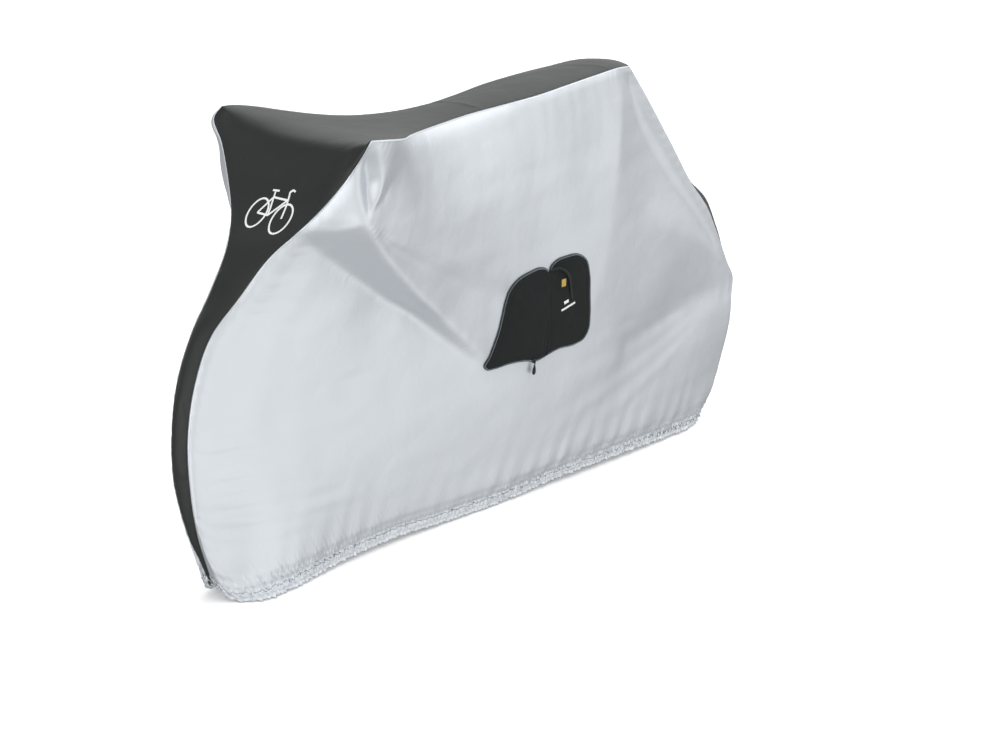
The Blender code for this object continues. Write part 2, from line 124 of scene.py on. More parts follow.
# The hem, from front to rear: x, z and how far the near and far panels' hems lie from the plane.
HEM_SECTIONS = [
    (-807, 40, 11, 3),
    (-803, 14, 25, 7),
    (-786, 3, 56, 14),
    (-755, 2, 90, 26),
    (-711, 2, 102, 52),
    (-650, 3, 93, 70),
    (-587, 4, 86, 75),
    (-470, 9, 64, 66),
    (-330, 11, 60, 60),
    (-190, 5, 60, 61),
    (30, 3, 61, 63),
    (220, 10, 60, 60),
    (450, 9, 56, 56),
    (610, 4, 50, 52),
    (700, 3, 42, 46),
    (762, 10, 30, 30),
    (785, 26, 14, 12),
]

# How far a side panel stands out from the bicycle's plane. A row is a section at a share of the
# panel's length from the front, and a column is a share of the height from hem to top seam.
BELLY_HEIGHTS = (0.12, 0.30, 0.50, 0.66, 0.80, 0.92)
NEAR_BELLY = [
    (0.05, 62, 52, 53, 72, 170, 216),
    (0.10, 88, 68, 67, 96, 190, 218),
    (0.20, 86, 82, 83, 124, 189, 172),
    (0.30, 84, 96, 100, 142, 163, 129),
    (0.40, 86, 110, 126, 147, 141, 107),
    (0.50, 90, 120, 137, 138, 125, 103),
    (0.60, 92, 122, 136, 130, 114, 97),
    (0.70, 88, 118, 126, 121, 110, 100),
    (0.80, 81, 101, 103, 98, 91, 88),
    (0.90, 63, 73, 72, 68, 68, 71),
    (0.95, 50, 52, 50, 50, 53, 59),
]
FAR_BELLY = [
    (0.02, 10, 25, 34, 60, 136, 246),
    (0.05, 19, 34, 46, 74, 184, 248),
    (0.10, 48, 55, 65, 104, 208, 238),
    (0.20, 76, 78, 84, 130, 182, 180),
    (0.30, 82, 93, 104, 138, 142, 126),
    (0.40, 84, 106, 121, 130, 117, 96),
    (0.50, 88, 116, 128, 119, 101, 85),
    (0.60, 90, 117, 126, 113, 99, 89),
    (0.70, 85, 107, 112, 105, 97, 94),
    (0.80, 77, 90, 91, 88, 86, 86),
    (0.90, 60, 67, 67, 66, 69, 72),
    (0.95, 49, 52, 51, 51, 54, 60),
]

# ---- folds, puckers and gathers ----------------------------------------------------------------
# The near panel is drawn tight over the bar end, the saddle's corner and the rear hub, and turns
# along these lines. Each has its sharpness, from 0 to 1, and its places: x, z and how far the
# cloth stands out from the bicycle's plane there.
NEAR_LINES = [
    ("fall from the bar end", 1.0, [(-548, 925, 204), (-540, 861, 213), (-532, 805, 222)]),
    ("lower edge of the bright facet", 0.9, [(-631, 790, 121), (-587, 789, 156), (-555, 794, 191),
     (-532, 805, 222)]),
    ("ridge from the bar end to the pouch", 1.0, [(-532, 805, 222), (-487, 746, 208),
     (-447, 700, 195), (-402, 654, 183), (-319, 573, 164), (-209, 475, 144), (-110, 390, 129)]),
    ("valley under that ridge", 1.0, [(-631, 785, 119), (-605, 765, 115), (-572, 737, 111),
     (-495, 679, 104), (-396, 607, 99), (-298, 543, 101), (-203, 462, 110), (-108, 386, 123)]),
    ("ridge from the bar end over the pouch", 1.0, [(-532, 805, 222), (-445, 752, 209),
     (-315, 687, 189), (-180, 622, 167), (-70, 562, 151)]),
    ("dip under that ridge", 1.0, [(-489, 772, 208), (-447, 735, 194), (-318, 656, 169),
     (-187, 580, 147), (-90, 530, 142)]),
    ("trough beside the fall", 1.0, [(-537, 955, 222), (-523, 936, 205), (-508, 881, 194),
     (-512, 841, 204), (-532, 805, 221)]),
    ("ridge beside that trough", 0.9, [(-519, 960, 233), (-493, 891, 224), (-497, 846, 220)]),
    ("pinch above the fall's end", 0.9, [(-532, 805, 221), (-495, 834, 209), (-463, 857, 203)]),
    ("small ridge below the valley", 0.8, [(-350, 543, 111), (-255, 482, 115), (-150, 407, 122)]),
    ("small valley below it", 0.8, [(-344, 517, 103), (-250, 454, 108), (-135, 385, 118)]),
    ("fall from the saddle's corner", 0.8, [(414, 968, 67), (385, 913, 91), (365, 841, 107),
     (344, 750, 119), (316, 648, 131), (285, 559, 139), (238, 461, 142)]),
    ("trough from the saddle's corner", 0.8, [(434, 945, 56), (447, 880, 60), (490, 806, 55),
     (540, 745, 51), (600, 678, 48), (716, 556, 43), (798, 465, 36)]),
    ("ridge beside the rear seam", 0.8, [(453, 915, 63), (480, 862, 65), (536, 796, 60),
     (614, 702, 55), (733, 567, 49), (820, 452, 42)]),
    ("ridge above the rear hub", 0.8, [(866, 382, 36), (787, 452, 52), (682, 515, 73),
     (552, 569, 95), (431, 605, 110)]),
    ("valley from the rear hub", 1.0, [(884, 340, 30), (803, 348, 34), (717, 347, 45),
     (609, 342, 62), (499, 326, 84), (387, 304, 99)]),
    ("ridge under that valley", 0.7, [(866, 307, 36), (778, 283, 57), (668, 253, 78),
     (536, 217, 94), (416, 185, 102)]),
    ("bulge under the rear hub", 0.1, [(742, 190, 70), (625, 160, 88), (496, 140, 96)]),
]
FAR_LINES = [
    ("fall from the bar end", 1.0, [(-545, 935, 252), (-538, 870, 256), (-530, 800, 246)]),
    ("lower edge of the bar end's facet", 0.9, [(-631, 789, 99), (-585, 787, 155),
     (-530, 800, 246)]),
    ("ridge from the bar end to the middle", 1.0, [(-530, 800, 246), (-480, 738, 218),
     (-420, 676, 192), (-300, 560, 157), (-120, 420, 133)]),
    ("valley under that ridge", 1.0, [(-631, 783, 97), (-570, 733, 107), (-490, 668, 107),
     (-380, 585, 105), (-250, 486, 111), (-120, 414, 131)]),
    ("ridge from the bar end under the saddle", 0.8, [(-530, 800, 246), (-430, 748, 208),
     (-280, 690, 173), (-80, 610, 142)]),
    ("trough beside the fall", 0.8, [(-533, 960, 252), (-510, 900, 240), (-508, 850, 240),
     (-530, 800, 245)]),
    ("fall from the saddle's corner", 0.6, [(416, 968, 62), (380, 870, 86), (348, 740, 101),
     (300, 600, 114), (240, 470, 122)]),
    ("trough from the saddle's corner", 0.6, [(436, 940, 56), (460, 850, 60), (540, 745, 55),
     (690, 590, 46)]),
    ("ridge beside the rear seam", 0.5, [(452, 920, 62), (492, 855, 63), (600, 735, 55),
     (727, 589, 49)]),
    ("valley over the rear hub", 0.2, [(310, 330, 102), (430, 326, 88), (560, 338, 73),
     (793, 342, 48)]),
    ("bulge under the rear hub", 0.1, [(400, 184, 98), (620, 200, 90), (742, 214, 70)]),
]

# Puckers beside the seams. seam is the edge that they run from, start and end are shares of its
# length, spacing is from one pucker to the next, depth is how far they stand out, reach how far
# they run into the cloth, and slant how far they lean along the seam.
#    seam    start  end   spacing  depth   reach  slant
NEAR_PUCKERS = [
    ("top", 0.00, 0.14, 0.016, 0.0010, 0.022, 0.10),
    ("top", 0.14, 0.60, 0.060, 0.0009, 0.070, -0.30),
    ("top", 0.45, 0.98, 0.047, 0.0012, 0.080, -0.40),
    ("top", 0.02, 0.98, 0.013, 0.0009, 0.013, 0.00),
    ("top", 0.88, 1.00, 0.018, 0.0016, 0.050, -0.20),
    ("front", 0.02, 0.72, 0.031, 0.0044, 0.028, 0.15),
    ("front", 0.58, 0.86, 0.033, 0.0040, 0.036, 0.30),
    ("rear", 0.05, 0.98, 0.033, 0.0018, 0.026, -0.20),
]
FAR_PUCKERS = [
    ("top", 0.00, 0.14, 0.018, 0.0012, 0.030, -0.10),
    ("top", 0.10, 0.98, 0.050, 0.0014, 0.070, 0.30),
    ("top", 0.02, 0.98, 0.014, 0.0006, 0.012, 0.00),
    ("front", 0.02, 0.80, 0.033, 0.0036, 0.030, -0.15),
    ("rear", 0.05, 0.98, 0.034, 0.0012, 0.026, 0.20),
]

# The hem: its folded band, which the elastic in it crumples, and the gathers above its stitches.
HEM_BAND = 0.026
HEM_PLUMP = 0.0020
HEM_GROOVE_DEPTH = 0.0018
HEM_GROOVE_WIDTH = 0.0024
HEM_FLARE = 0.0100
HEM_DRAWN_IN = 0.0060
HEM_DRAWN_REACH = 0.030
RUFFLE_SPACING = 0.0160
RUFFLE_DEPTH = 0.0050
GATHER_SPACING = 0.0150
GATHER_DEPTH = 0.0050
GATHER_REACH = 0.017
SWAG_SPACING = 0.060
SWAG_DEPTH = 0.0030
SWAG_REACH = 0.060
HEM_WAVE = 0.0042
# How strongly the elastic gathers the hem, at shares of its length from the front.
GATHERED = [(0.00, 1.1), (0.10, 1.1), (0.18, 0.9), (0.24, 0.8), (0.32, 0.35), (0.42, 0.40),
            (0.50, 0.9), (0.62, 1.2), (0.90, 1.2), (1.00, 1.0)]
# How far up inside the band the turned hem runs, and how far inside it lies there.
HEM_TURN = (0.002, 0.008, 0.016, 0.023)
HEM_TURN_IN = (0.0030, 0.0052, 0.0052, 0.0052)
# The turned hem's rows and the band's rows keep all their columns.
FINE_ROWS = 24

# Where the pouch lies on the near panel, which is calm there: x and then z, each as the start
# and end of the turn to calm and of the turn back.
POUCH_LIES_X = (-0.14, -0.07, 0.22, 0.29)
POUCH_LIES_Z = (0.31, 0.37, 0.58, 0.64)

# Soft folds that fan out from the rear hub: its place, the fan's directions in degrees below the
# level and its reach, both with soft ends, the angle between two folds and their depth.
HUB_AT = (0.885, 0.350)
HUB_FAN = (-6.0, -2.0, 21.0, 27.0)
HUB_FAN_REACH = (0.04, 0.22, 0.62, 0.86)
HUB_FOLD_ANGLE = 7.0
HUB_FOLD_DEPTH = 0.0010
# Faint level wrinkles where the cloth is stretched over the front wheel.
WHEEL_WRINKLE_SPACING = 0.036
WHEEL_WRINKLE_DEPTH = 0.0026
# Soft unevenness of thin cloth that has been folded up small: depth, lean, how much flatter than
# wide, size and seed.
SIDE_RUMPLES = ((0.0014, 0.3, 1.0, 0.160, 90), (0.0006, -0.2, 1.8, 0.062, 91))

# Creases of the centre panel: from, to, height out of the cloth and half width.
CENTRE_CREASES = [
    ((-0.532, -0.214, 0.985), (-0.550, -0.196, 0.925), -0.0045, 0.008),
    ((-0.540, -0.196, 0.975), (-0.560, -0.160, 0.880), 0.0025, 0.014),
    ((-0.074, 0.063, 0.950), (-0.056, -0.046, 0.954), 0.0018, 0.006),
    ((0.300, 0.060, 0.985), (0.360, -0.050, 0.985), 0.0012, 0.010),
    ((-0.718, 0.030, 0.684), (-0.856, -0.008, 0.450), 0.0040, 0.011),
    ((-0.838, 0.026, 0.500), (-0.862, -0.030, 0.430), -0.0030, 0.008),
    ((-0.860, 0.020, 0.360), (-0.872, -0.020, 0.300), 0.0020, 0.010),
    ((-0.640, 0.060, 0.800), (-0.575, -0.040, 0.870), 0.0015, 0.020),
]
# How far the centre panel's edge is turned in under the side panels.
ALLOWANCE = (0.0000, 0.0012, 0.0030, 0.0050, 0.0075)
ALLOWANCE_DEPTH = 0.0013
# This many lines of a panel's grid reach further in than the allowance.
EDGE_ROWS = 14
# How far from the bar the centre panel is softened over it, and how many times.
BAR_REACH = 0.045
BAR_PASSES = 90

# ---- the storage pouch -------------------------------------------------------------------------
# Each leaf's outline as x and z, from the spine's foot round its free edge to the spine's top.
FRONT_LEAF = [
    (0.0852, 0.3610), (0.0560, 0.3565), (0.0160, 0.3650), (-0.0370, 0.3690), (-0.0760, 0.3670),
    (-0.1000, 0.3700), (-0.1065, 0.3780), (-0.0960, 0.4030), (-0.0850, 0.4310), (-0.0745, 0.4600),
    (-0.0675, 0.4900), (-0.0600, 0.5250), (-0.0500, 0.5500), (-0.0280, 0.5665), (0.0200, 0.5785),
    (0.0580, 0.5800), (0.0765, 0.5735), (0.0850, 0.5640),
]
REAR_LEAF = [
    (0.0858, 0.3620), (0.1220, 0.3690), (0.1840, 0.3685), (0.2120, 0.3760), (0.2265, 0.3960),
    (0.2275, 0.4300), (0.2230, 0.4800), (0.2205, 0.5350), (0.2110, 0.5680), (0.1840, 0.5870),
    (0.1440, 0.5905), (0.1080, 0.5860), (0.0925, 0.5775), (0.0858, 0.5660),
]
# The leaf's two layers: the gap under them, thickness at the edge, rise to the middle, and the
# seam inside the edge.
LEAF_UNDER = 0.0004
LEAF_EDGE = 0.0034
LEAF_EDGE_ROUND = 0.0024
LEAF_CROWN = 0.0024
LEAF_SEAM_IN = 0.0110
LEAF_SEAM_DEPTH = 0.0008
LEAF_SEAM_WIDTH = 0.0011
# Distances inside the edge at which a leaf's outer rings of points lie.
LEAF_RINGS = (0.0, 0.0004, 0.0012, 0.0024, 0.0040, 0.0070, 0.0094, 0.0104, 0.0110, 0.0116,
              0.0126, 0.0150, 0.0190)
# The zip's coil is wound of a 1 mm thread, 2.4 mm a turn, on a tape 9 mm wide.
ZIP_SHOWN = 0.0042
COIL_RADIUS = 0.0013
COIL_THREAD = 0.00050
COIL_PITCH = 0.0024
COIL_OUT = -0.0016
TAPE_WIDTH = 0.0090
TAPE_THICKNESS = 0.0007
TAPE_LIFT = 0.0012
TAPE_OUT = 0.0010
# The wrist loop's route: x, z and how far it stands off the leaf.
STRAP_ROUTE = [
    (0.0900, 0.5690, 0.0000), (0.1080, 0.5700, 0.0035), (0.1240, 0.5640, 0.0050),
    (0.1370, 0.5520, 0.0050), (0.1450, 0.5360, 0.0040), (0.1510, 0.5160, 0.0020),
    (0.1550, 0.4990, 0.0000), (0.1580, 0.4860, 0.0000),
]
STRAP_WIDTH = 0.0068
STRAP_THICKNESS = 0.0012
# What lies on a leaf is this far off it.
LAID_LIFT = 0.0002
# The slider's plate as shares of its width and length: round at one end, drawn in at the other.
SLIDER_SHAPE = [(-0.50, 0.20), (-0.38, 0.42), (0.0, 0.50), (0.38, 0.42), (0.50, 0.20),
                (0.46, -0.15), (0.34, -0.42), (0.0, -0.50), (-0.34, -0.42), (-0.46, -0.15)]
SLIDER_SIZE = (0.0092, 0.0125)
SLIDER_ARCH = [(-0.0040, 0.0044), (-0.0034, 0.0066), (-0.0010, 0.0074), (0.0018, 0.0070),
               (0.0034, 0.0044)]
SLIDER_LIFT = 0.0028
SLIDER_AT = (0.0430, 0.3600)
LINK_LENGTH = 0.0048
LINK_WIDTH = 0.0021
PULL_LENGTH = 0.0350
PULL_WIDTH = 0.0140
LABEL_AT = (0.1290, 0.5310)
LABEL_SIZE = (0.014, 0.018)
LABEL_THICKNESS = 0.0008
LABEL_STITCH_IN = 0.0014
# The pouch's print is two plain bars: middle x and z, length, width and tilt in degrees.
POUCH_BARS = [(0.1390, 0.4830, 0.015, 0.0075, 13.0), (0.1460, 0.4705, 0.046, 0.0050, 13.0)]
# The front's print is a plain bicycle, in metres to the right and up from its lowest left corner.
PRINT_AT = (0.052, 0.772)
PRINT_LINE = 0.0046
PRINT_WHEEL = 0.0260
PRINT_HUBS = ((0.028, 0.030), (0.104, 0.030))
PRINT_LINES = [
    [(0.028, 0.030), (0.061, 0.030), (0.092, 0.062), (0.050, 0.062), (0.028, 0.030)],
    [(0.061, 0.030), (0.047, 0.072)],
    [(0.104, 0.030), (0.089, 0.077), (0.097, 0.082), (0.104, 0.080)],
    [(0.037, 0.073), (0.058, 0.075)],
]
# Stitches: length, gap, the thread's radius. The real thread is half as thick, too fine to show.
HEM_STITCH = (0.0042, 0.0011, 0.00055)
SEAM_STITCH = (0.0034, 0.0014, 0.00045)
SEAM_STITCH_IN = 0.0045
LABEL_STITCH = (0.0022, 0.0009, 0.00030)
# A stitch from end to end: share of its length, lift in thread radii and thickness.
STITCH_SHAPE = ((0.0, -0.9, 0.55), (0.18, 0.45, 1.0), (0.82, 0.45, 1.0), (1.0, -0.9, 0.55))

# ---- small tools -------------------------------------------------------------------------------


def smooth(knots, values, at):
    """Read a smooth line through values at rising knots: cubic pieces with central slopes."""
    knots, values, at = (np.asarray(numbers, float) for numbers in (knots, values, at))
    slopes = np.gradient(values, knots, axis=0)
    piece = np.clip(np.searchsorted(knots, at) - 1, 0, len(knots) - 2)
    step = knots[piece + 1] - knots[piece]
    share = (at - knots[piece]) / step
    if values.ndim > 1:
        step, share = step[:, None], share[:, None]
    ends = values[piece] * (1 + 2 * share) + slopes[piece] * step * share
    starts = values[piece + 1] * (3 - 2 * share) + slopes[piece + 1] * step * (share - 1)
    return ends * (1 - share) ** 2 + starts * share ** 2


def along(sections, shares):
    """Sections read at shares of the length of the line that their x and z draw."""
    rows = np.array(sections) / PER_METRE
    steps = np.hypot(np.diff(rows[:, 0]), np.diff(rows[:, 1]))
    length = np.concatenate([[0.0], np.cumsum(steps)])
    return smooth(length / length[-1], rows, shares)


def crowded(cells, spots):
    """Shares from 0 to 1 that crowd at spots, each given as its place, its pull and its width."""
    fine = np.linspace(0.0, 1.0, 4001)
    pull = np.ones_like(fine)
    for place, strength, width in spots:
        pull += strength * np.exp(-np.abs(fine - place) / width)
    passed = np.concatenate([[0.0], np.cumsum((pull[1:] + pull[:-1]) / 2)])
    return np.interp(np.linspace(0.0, 1.0, cells + 1), passed / passed[-1], fine)


def unit(vectors):
    return vectors / np.linalg.norm(vectors, axis=-1, keepdims=True)


def heading(line, loop=False):
    """The direction in which a line runs at each of its points."""
    if loop:
        return unit(np.roll(line, -1, axis=0) - np.roll(line, 1, axis=0))
    return unit(np.gradient(line, axis=0))


def run_length(points, axis=0):
    """How far each point lies along its line, or along its line of a grid."""
    steps = np.linalg.norm(np.diff(points, axis=axis), axis=-1)
    start = np.zeros_like(np.take(steps, [0], axis=axis))
    return np.concatenate([start, np.cumsum(steps, axis=axis)], axis=axis)


def read_at(at, reach, rows):
    """Rows of numbers, which lie at reach along a line, read at other places on it."""
    return np.stack([np.interp(at, reach, column) for column in rows.T], axis=-1)


def read_inside(grid, distances):
    """Each line of a grid, read at distances from the grid's edge. Its first three numbers are
    places."""
    reach = run_length(grid[..., :3], 1)
    return np.array([read_at(distances, reach[k], grid[k]) for k in range(len(grid))])


def ripple(at, spacing, seed):
    """Uneven waves from -1 to 1, with about one crest each spacing."""
    draw = np.random.default_rng(seed)
    reach = max(abs(float(at.min())), abs(float(at.max()))) + 2 * spacing
    knots = np.arange(-reach, reach + spacing, spacing / 2)
    knots = knots + draw.uniform(-0.16, 0.16, len(knots)) * spacing
    heights = draw.uniform(0.35, 1.0, len(knots)) * np.where(np.arange(len(knots)) % 2, 1.0, -1.0)
    return smooth(knots, heights, at.ravel()).reshape(at.shape)


def rumple(across, up, size, seed):
    """Uneven soft bumps from -1 to 1, of about that size in both directions."""
    lattice = np.random.default_rng(seed).uniform(-1.0, 1.0, (127, 113))
    columns, rows = lattice.shape
    i, j = np.floor(across / size).astype(int), np.floor(up / size).astype(int)
    a, b = (k * k * k * (k * (k * 6 - 15) + 10) for k in (across / size - i, up / size - j))
    low, high = (lattice[i % columns, k % rows] * (1 - a) + lattice[(i + 1) % columns, k % rows] * a
                 for k in (j, j + 1))
    return low * (1 - b) + high * b


def fade(value, start, end):
    """0 before start, 1 after end, and a soft turn between them."""
    share = np.clip((value - start) / (end - start), 0.0, 1.0)
    return share * share * (3 - 2 * share)


def between(value, start, full, wane, end):
    """1 from full to wane, 0 before start and after end, and soft turns between them."""
    return fade(value, start, full) * (1 - fade(value, wane, end))


# ---- shapes of the cloth -----------------------------------------------------------------------

def blend_edges(left, right, low, high, s, t):
    """A Coons patch: a sheet between four edge lines that meet at their ends."""
    s, t = s[:, None], t[None, :]
    across = (1 - s) * left[None, :] + s * right[None, :]
    upward = (1 - t) * low[:, None] + t * high[:, None]
    corners = ((1 - s) * ((1 - t) * low[0] + t * high[0])
               + s * ((1 - t) * low[-1] + t * high[-1]))
    return across + upward - corners


def from_segment(x, z, start, end):
    """Distance of each point from a straight piece of a line, as seen from the side."""
    run_x, run_z = end[0] - start[0], end[1] - start[1]
    share = np.clip(((x - start[0]) * run_x + (z - start[1]) * run_z) / (run_x ** 2 + run_z ** 2),
                    0.0, 1.0)
    return np.hypot(x - start[0] - share * run_x, z - start[1] - share * run_z)


def drawn_tight(x, z, out, lines):
    """The cloth drawn straight from line to line, on the table's surface away from them, and
    softened everywhere but on its creases."""
    away = np.ones(x.shape)
    held = np.zeros(x.shape)
    places = []
    joins = []
    for _, sharpness, line in lines:
        line = [tuple(number / PER_METRE for number in place) for place in line]
        for start, end in zip(line, line[1:]):
            distance = from_segment(x, z, start, end)
            away = np.minimum(away, distance)
            held = np.maximum(held, sharpness * np.exp(-(distance / FOLD_HOLD) ** 2))
        joins += [(len(places) + k, len(places) + k + 1) for k in range(len(line) - 1)]
        places += [(place[0], place[1], place[2] - SHOULDER) for place in line]
    # Away from the lines the cloth is held by a few points of the table's surface.
    columns, rows = x.shape
    known = [(i, j) for i in range(0, columns, 5) for j in (0, rows - 1)]
    known += [(i, j) for i in (0, columns - 1) for j in range(0, rows, 4)]
    known += [(i, j) for i in range(12, columns - 6, 22) for j in range(8, rows - 5, 12)
              if away[i, j] > LINE_CLEARANCE]
    places += [(x[i, j], z[i, j], out[i, j]) for i, j in known]
    flat, _, faces, first, _, _ = delaunay_2d_cdt([Vector(place[:2]) for place in places], joins,
                                                  [], 0, 1e-5)
    corners = [Vector((spot.x, spot.y, places[source[0]][2] if source else 0.0))
               for spot, source in zip(flat, first)]
    tree = BVHTree.FromPolygons(corners, faces)
    drawn = out.copy()
    for i in range(1, columns - 1):
        for j in range(1, rows - 1):
            hit = tree.ray_cast(Vector((x[i, j], z[i, j], 1.0)), Vector((0.0, 0.0, -1.0)))[0]
            if hit:
                drawn[i, j] = hit.z
    give = np.clip(1.0 - 1.15 * held, 0.0, 1.0)[1:-1, 1:-1]
    for strength, passes in ((give, SOFT_PASSES), (CREASE_GIVE, CREASE_PASSES)):
        for _ in range(passes):
            around = (drawn[2:, 1:-1] + drawn[:-2, 1:-1] + drawn[1:-1, 2:] + drawn[1:-1, :-2]) / 4
            drawn[1:-1, 1:-1] += strength * (around - drawn[1:-1, 1:-1])
    return drawn


def side_panel(belly, lines, puckers, s, t, side, seed):
    """Points of a side panel's middle surface, from front to rear and from hem to top."""
    seam = NEAR if side < 0 else FAR
    front, rear = along(FRONT_SECTIONS, t), along(REAR_SECTIONS, t)
    hem, top = along(HEM_SECTIONS, s), along(TOP_SECTIONS, s)
    x, z = (blend_edges(front[:, k], rear[:, k], hem[:, k], top[:, k], s, t) for k in (0, 1))

    stations = np.array([0.0, *(row[0] for row in belly), 1.0])
    heights = np.array([0.0, *BELLY_HEIGHTS, 1.0])
    table = np.zeros((len(stations), len(heights)))
    table[0] = along(FRONT_SECTIONS, heights)[:, seam]
    table[-1] = along(REAR_SECTIONS, heights)[:, seam]
    table[:, 0] = along(HEM_SECTIONS, stations)[:, seam]
    table[:, -1] = along(TOP_SECTIONS, stations)[:, seam]
    table[1:-1, 1:-1] = np.array([row[1:] for row in belly]) / PER_METRE
    out = smooth(heights, smooth(stations, table, s).T, t).T
    tight = smooth(s[::2], drawn_tight(x[::2], z[::2], out[::2], lines), s)
    out = out + (tight - out) * fade(z - z[:, :1], 0.02, 0.15)
    calm = np.ones_like(x)
    if side < 0:
        calm -= between(x, *POUCH_LIES_X) * between(z, *POUCH_LIES_Z)

    # Distances on the cloth from each edge, and along it.
    flat = np.stack([x, z], axis=-1)
    along_cloth, up_cloth = run_length(flat, 0), run_length(flat, 1)
    s_grid, t_grid = np.broadcast_to(s[:, None], x.shape), np.broadcast_to(t, x.shape)
    edges = {
        "front": (along_cloth, up_cloth, t_grid),
        "rear": (along_cloth[-1:] - along_cloth, up_cloth, t_grid),
        "top": (up_cloth[:, -1:] - up_cloth, along_cloth, s_grid),
    }
    soft = 0.03
    for number, (edge, start, end, spacing, depth, reach, slant) in enumerate(puckers):
        away, along_edge, share = edges[edge]
        window = between(share, start - soft, start + soft, end - soft, end + soft)
        waves = ripple(along_edge + slant * away, spacing, seed + number)
        patchy = 0.65 + 0.35 * ripple(along_edge, 5 * spacing, seed + 40 + number)
        longer = 1 + 0.6 * ripple(along_edge, 2.3 * spacing, seed + 60 + number)
        rise = 1 - np.exp(-away / 0.006)
        out += depth * window * waves * patchy * rise * np.exp(-away / (reach * longer))

    # The hem's elastic gathers the cloth: small crimps by the stitches, longer swags above, and
    # ruffles in the band itself.
    above = up_cloth - HEM_BAND
    height = np.maximum(above, 0)
    clear = fade(along_cloth, 0.03, 0.12) * fade(along_cloth[-1:] - along_cloth, 0.03, 0.12)
    busy = np.interp(s, *np.transpose(GATHERED))[:, None]
    out -= HEM_DRAWN_IN * clear * np.exp(-height / HEM_DRAWN_REACH)
    crimps = ripple(along_cloth + 0.25 * up_cloth, GATHER_SPACING, seed + 80)
    crimps += 0.6 * ripple(along_cloth - 0.35 * up_cloth, 0.6 * GATHER_SPACING, seed + 81)
    reach = GATHER_REACH * (1 + 0.6 * ripple(along_cloth, 1.8 * GATHER_SPACING, seed + 84))
    out += GATHER_DEPTH * busy * crimps * np.exp(-height / reach) * fade(above, -0.004, 0.004)
    swags = ripple(along_cloth - 0.50 * up_cloth, SWAG_SPACING, seed + 83)
    out += SWAG_DEPTH * busy * swags * np.exp(-up_cloth / SWAG_REACH) * fade(up_cloth, 0.0, 0.05)
    in_band = 1 - fade(above, -0.005, 0.001)
    ruffles = ripple(along_cloth + 0.6 * up_cloth, RUFFLE_SPACING, seed + 85)
    ruffles += 0.7 * ripple(along_cloth - 0.9 * up_cloth, 0.7 * RUFFLE_SPACING, seed + 86)
    ruffles += 0.6 * rumple(along_cloth, up_cloth, 0.012, seed + 94)
    out += RUFFLE_DEPTH * (0.5 + 0.5 * busy) * in_band * ruffles / 1.6
    band = np.clip(up_cloth / HEM_BAND, 0.0, 1.0)
    out += HEM_FLARE * clear * (1 - band)
    out += HEM_PLUMP * np.sqrt(np.clip(1 - (2 * band - 1) ** 2, 0.0, 1.0))
    out -= HEM_GROOVE_DEPTH * np.exp(-(above / HEM_GROOVE_WIDTH) ** 2)
    uneven = ripple(along_cloth, 0.032, seed + 95) + 0.6 * ripple(along_cloth, 0.013, seed + 96)
    z += HEM_WAVE * clear * (1 - band) * np.clip(0.35 + 0.4 * uneven, 0.0, 1.0)

    # Folds that fan out from the rear hub, and level wrinkles over the front wheel.
    from_hub = np.hypot(HUB_AT[0] - x, HUB_AT[1] - z)
    angle = np.degrees(np.arctan2(HUB_AT[1] - z, HUB_AT[0] - x))
    fan = between(angle, *HUB_FAN) * between(from_hub, *HUB_FAN_REACH)
    out += HUB_FOLD_DEPTH * calm * fan * ripple(angle, HUB_FOLD_ANGLE, seed + 87)
    over_wheel = (1 - fade(x, -0.62, -0.36)) * between(z, 0.08, 0.16, 0.42, 0.56)
    level = ripple(z + 0.10 * x + 0.03 * rumple(x, z, 0.2, seed + 88), WHEEL_WRINKLE_SPACING,
                   seed + 89)
    patchy = np.maximum(0.0, rumple(x, z * 2.0, 0.110, seed + 92)) * fade(along_cloth, 0.02, 0.08)
    out += WHEEL_WRINKLE_DEPTH * over_wheel * level * patchy * 1.6

    for depth, lean, squeeze, size, draw in SIDE_RUMPLES:
        out += depth * calm * rumple(x + lean * z, z * squeeze, size, seed + draw)

    # The cloth turns over a small shoulder just inside its sewn edges.
    length = x[-1] - x[0]
    inside = np.minimum(np.minimum(s[:, None] * length, (1 - s)[:, None] * length),
                        (1 - t)[None, :] * (z[:, -1:] - z[:, :1]))
    turn = np.clip(inside / SHOULDER_REACH, 0.0, 1.0)
    out += SHOULDER * np.sqrt(1 - (1 - turn) ** 2)

    # Whatever the table and folds leave at the sewn edges is taken off, so that the seams meet.
    spare_front = out[0] - front[:, seam]
    spare_rear = out[-1] - rear[:, seam]
    spare_hem = (1 - s) * spare_front[0] + s * spare_rear[0]
    spare_top = out[:, -1] - top[:, seam]
    out -= blend_edges(spare_front, spare_rear, spare_hem, spare_top, s, t)
    return np.stack([x, side * out, z], axis=-1)


def from_line(points, start, end):
    """Distance of each point in space from a straight line."""
    start = np.array(start)
    run = np.array(end) - start
    share = np.clip(((points - start) @ run) / (run @ run), 0.0, 1.0)
    return np.linalg.norm(points - start - share[..., None] * run, axis=-1)


def grid_normals(points):
    """Square to the grid of points, turned to the outside of the cover."""
    return unit(np.cross(np.gradient(points, axis=0), np.gradient(points, axis=1)))


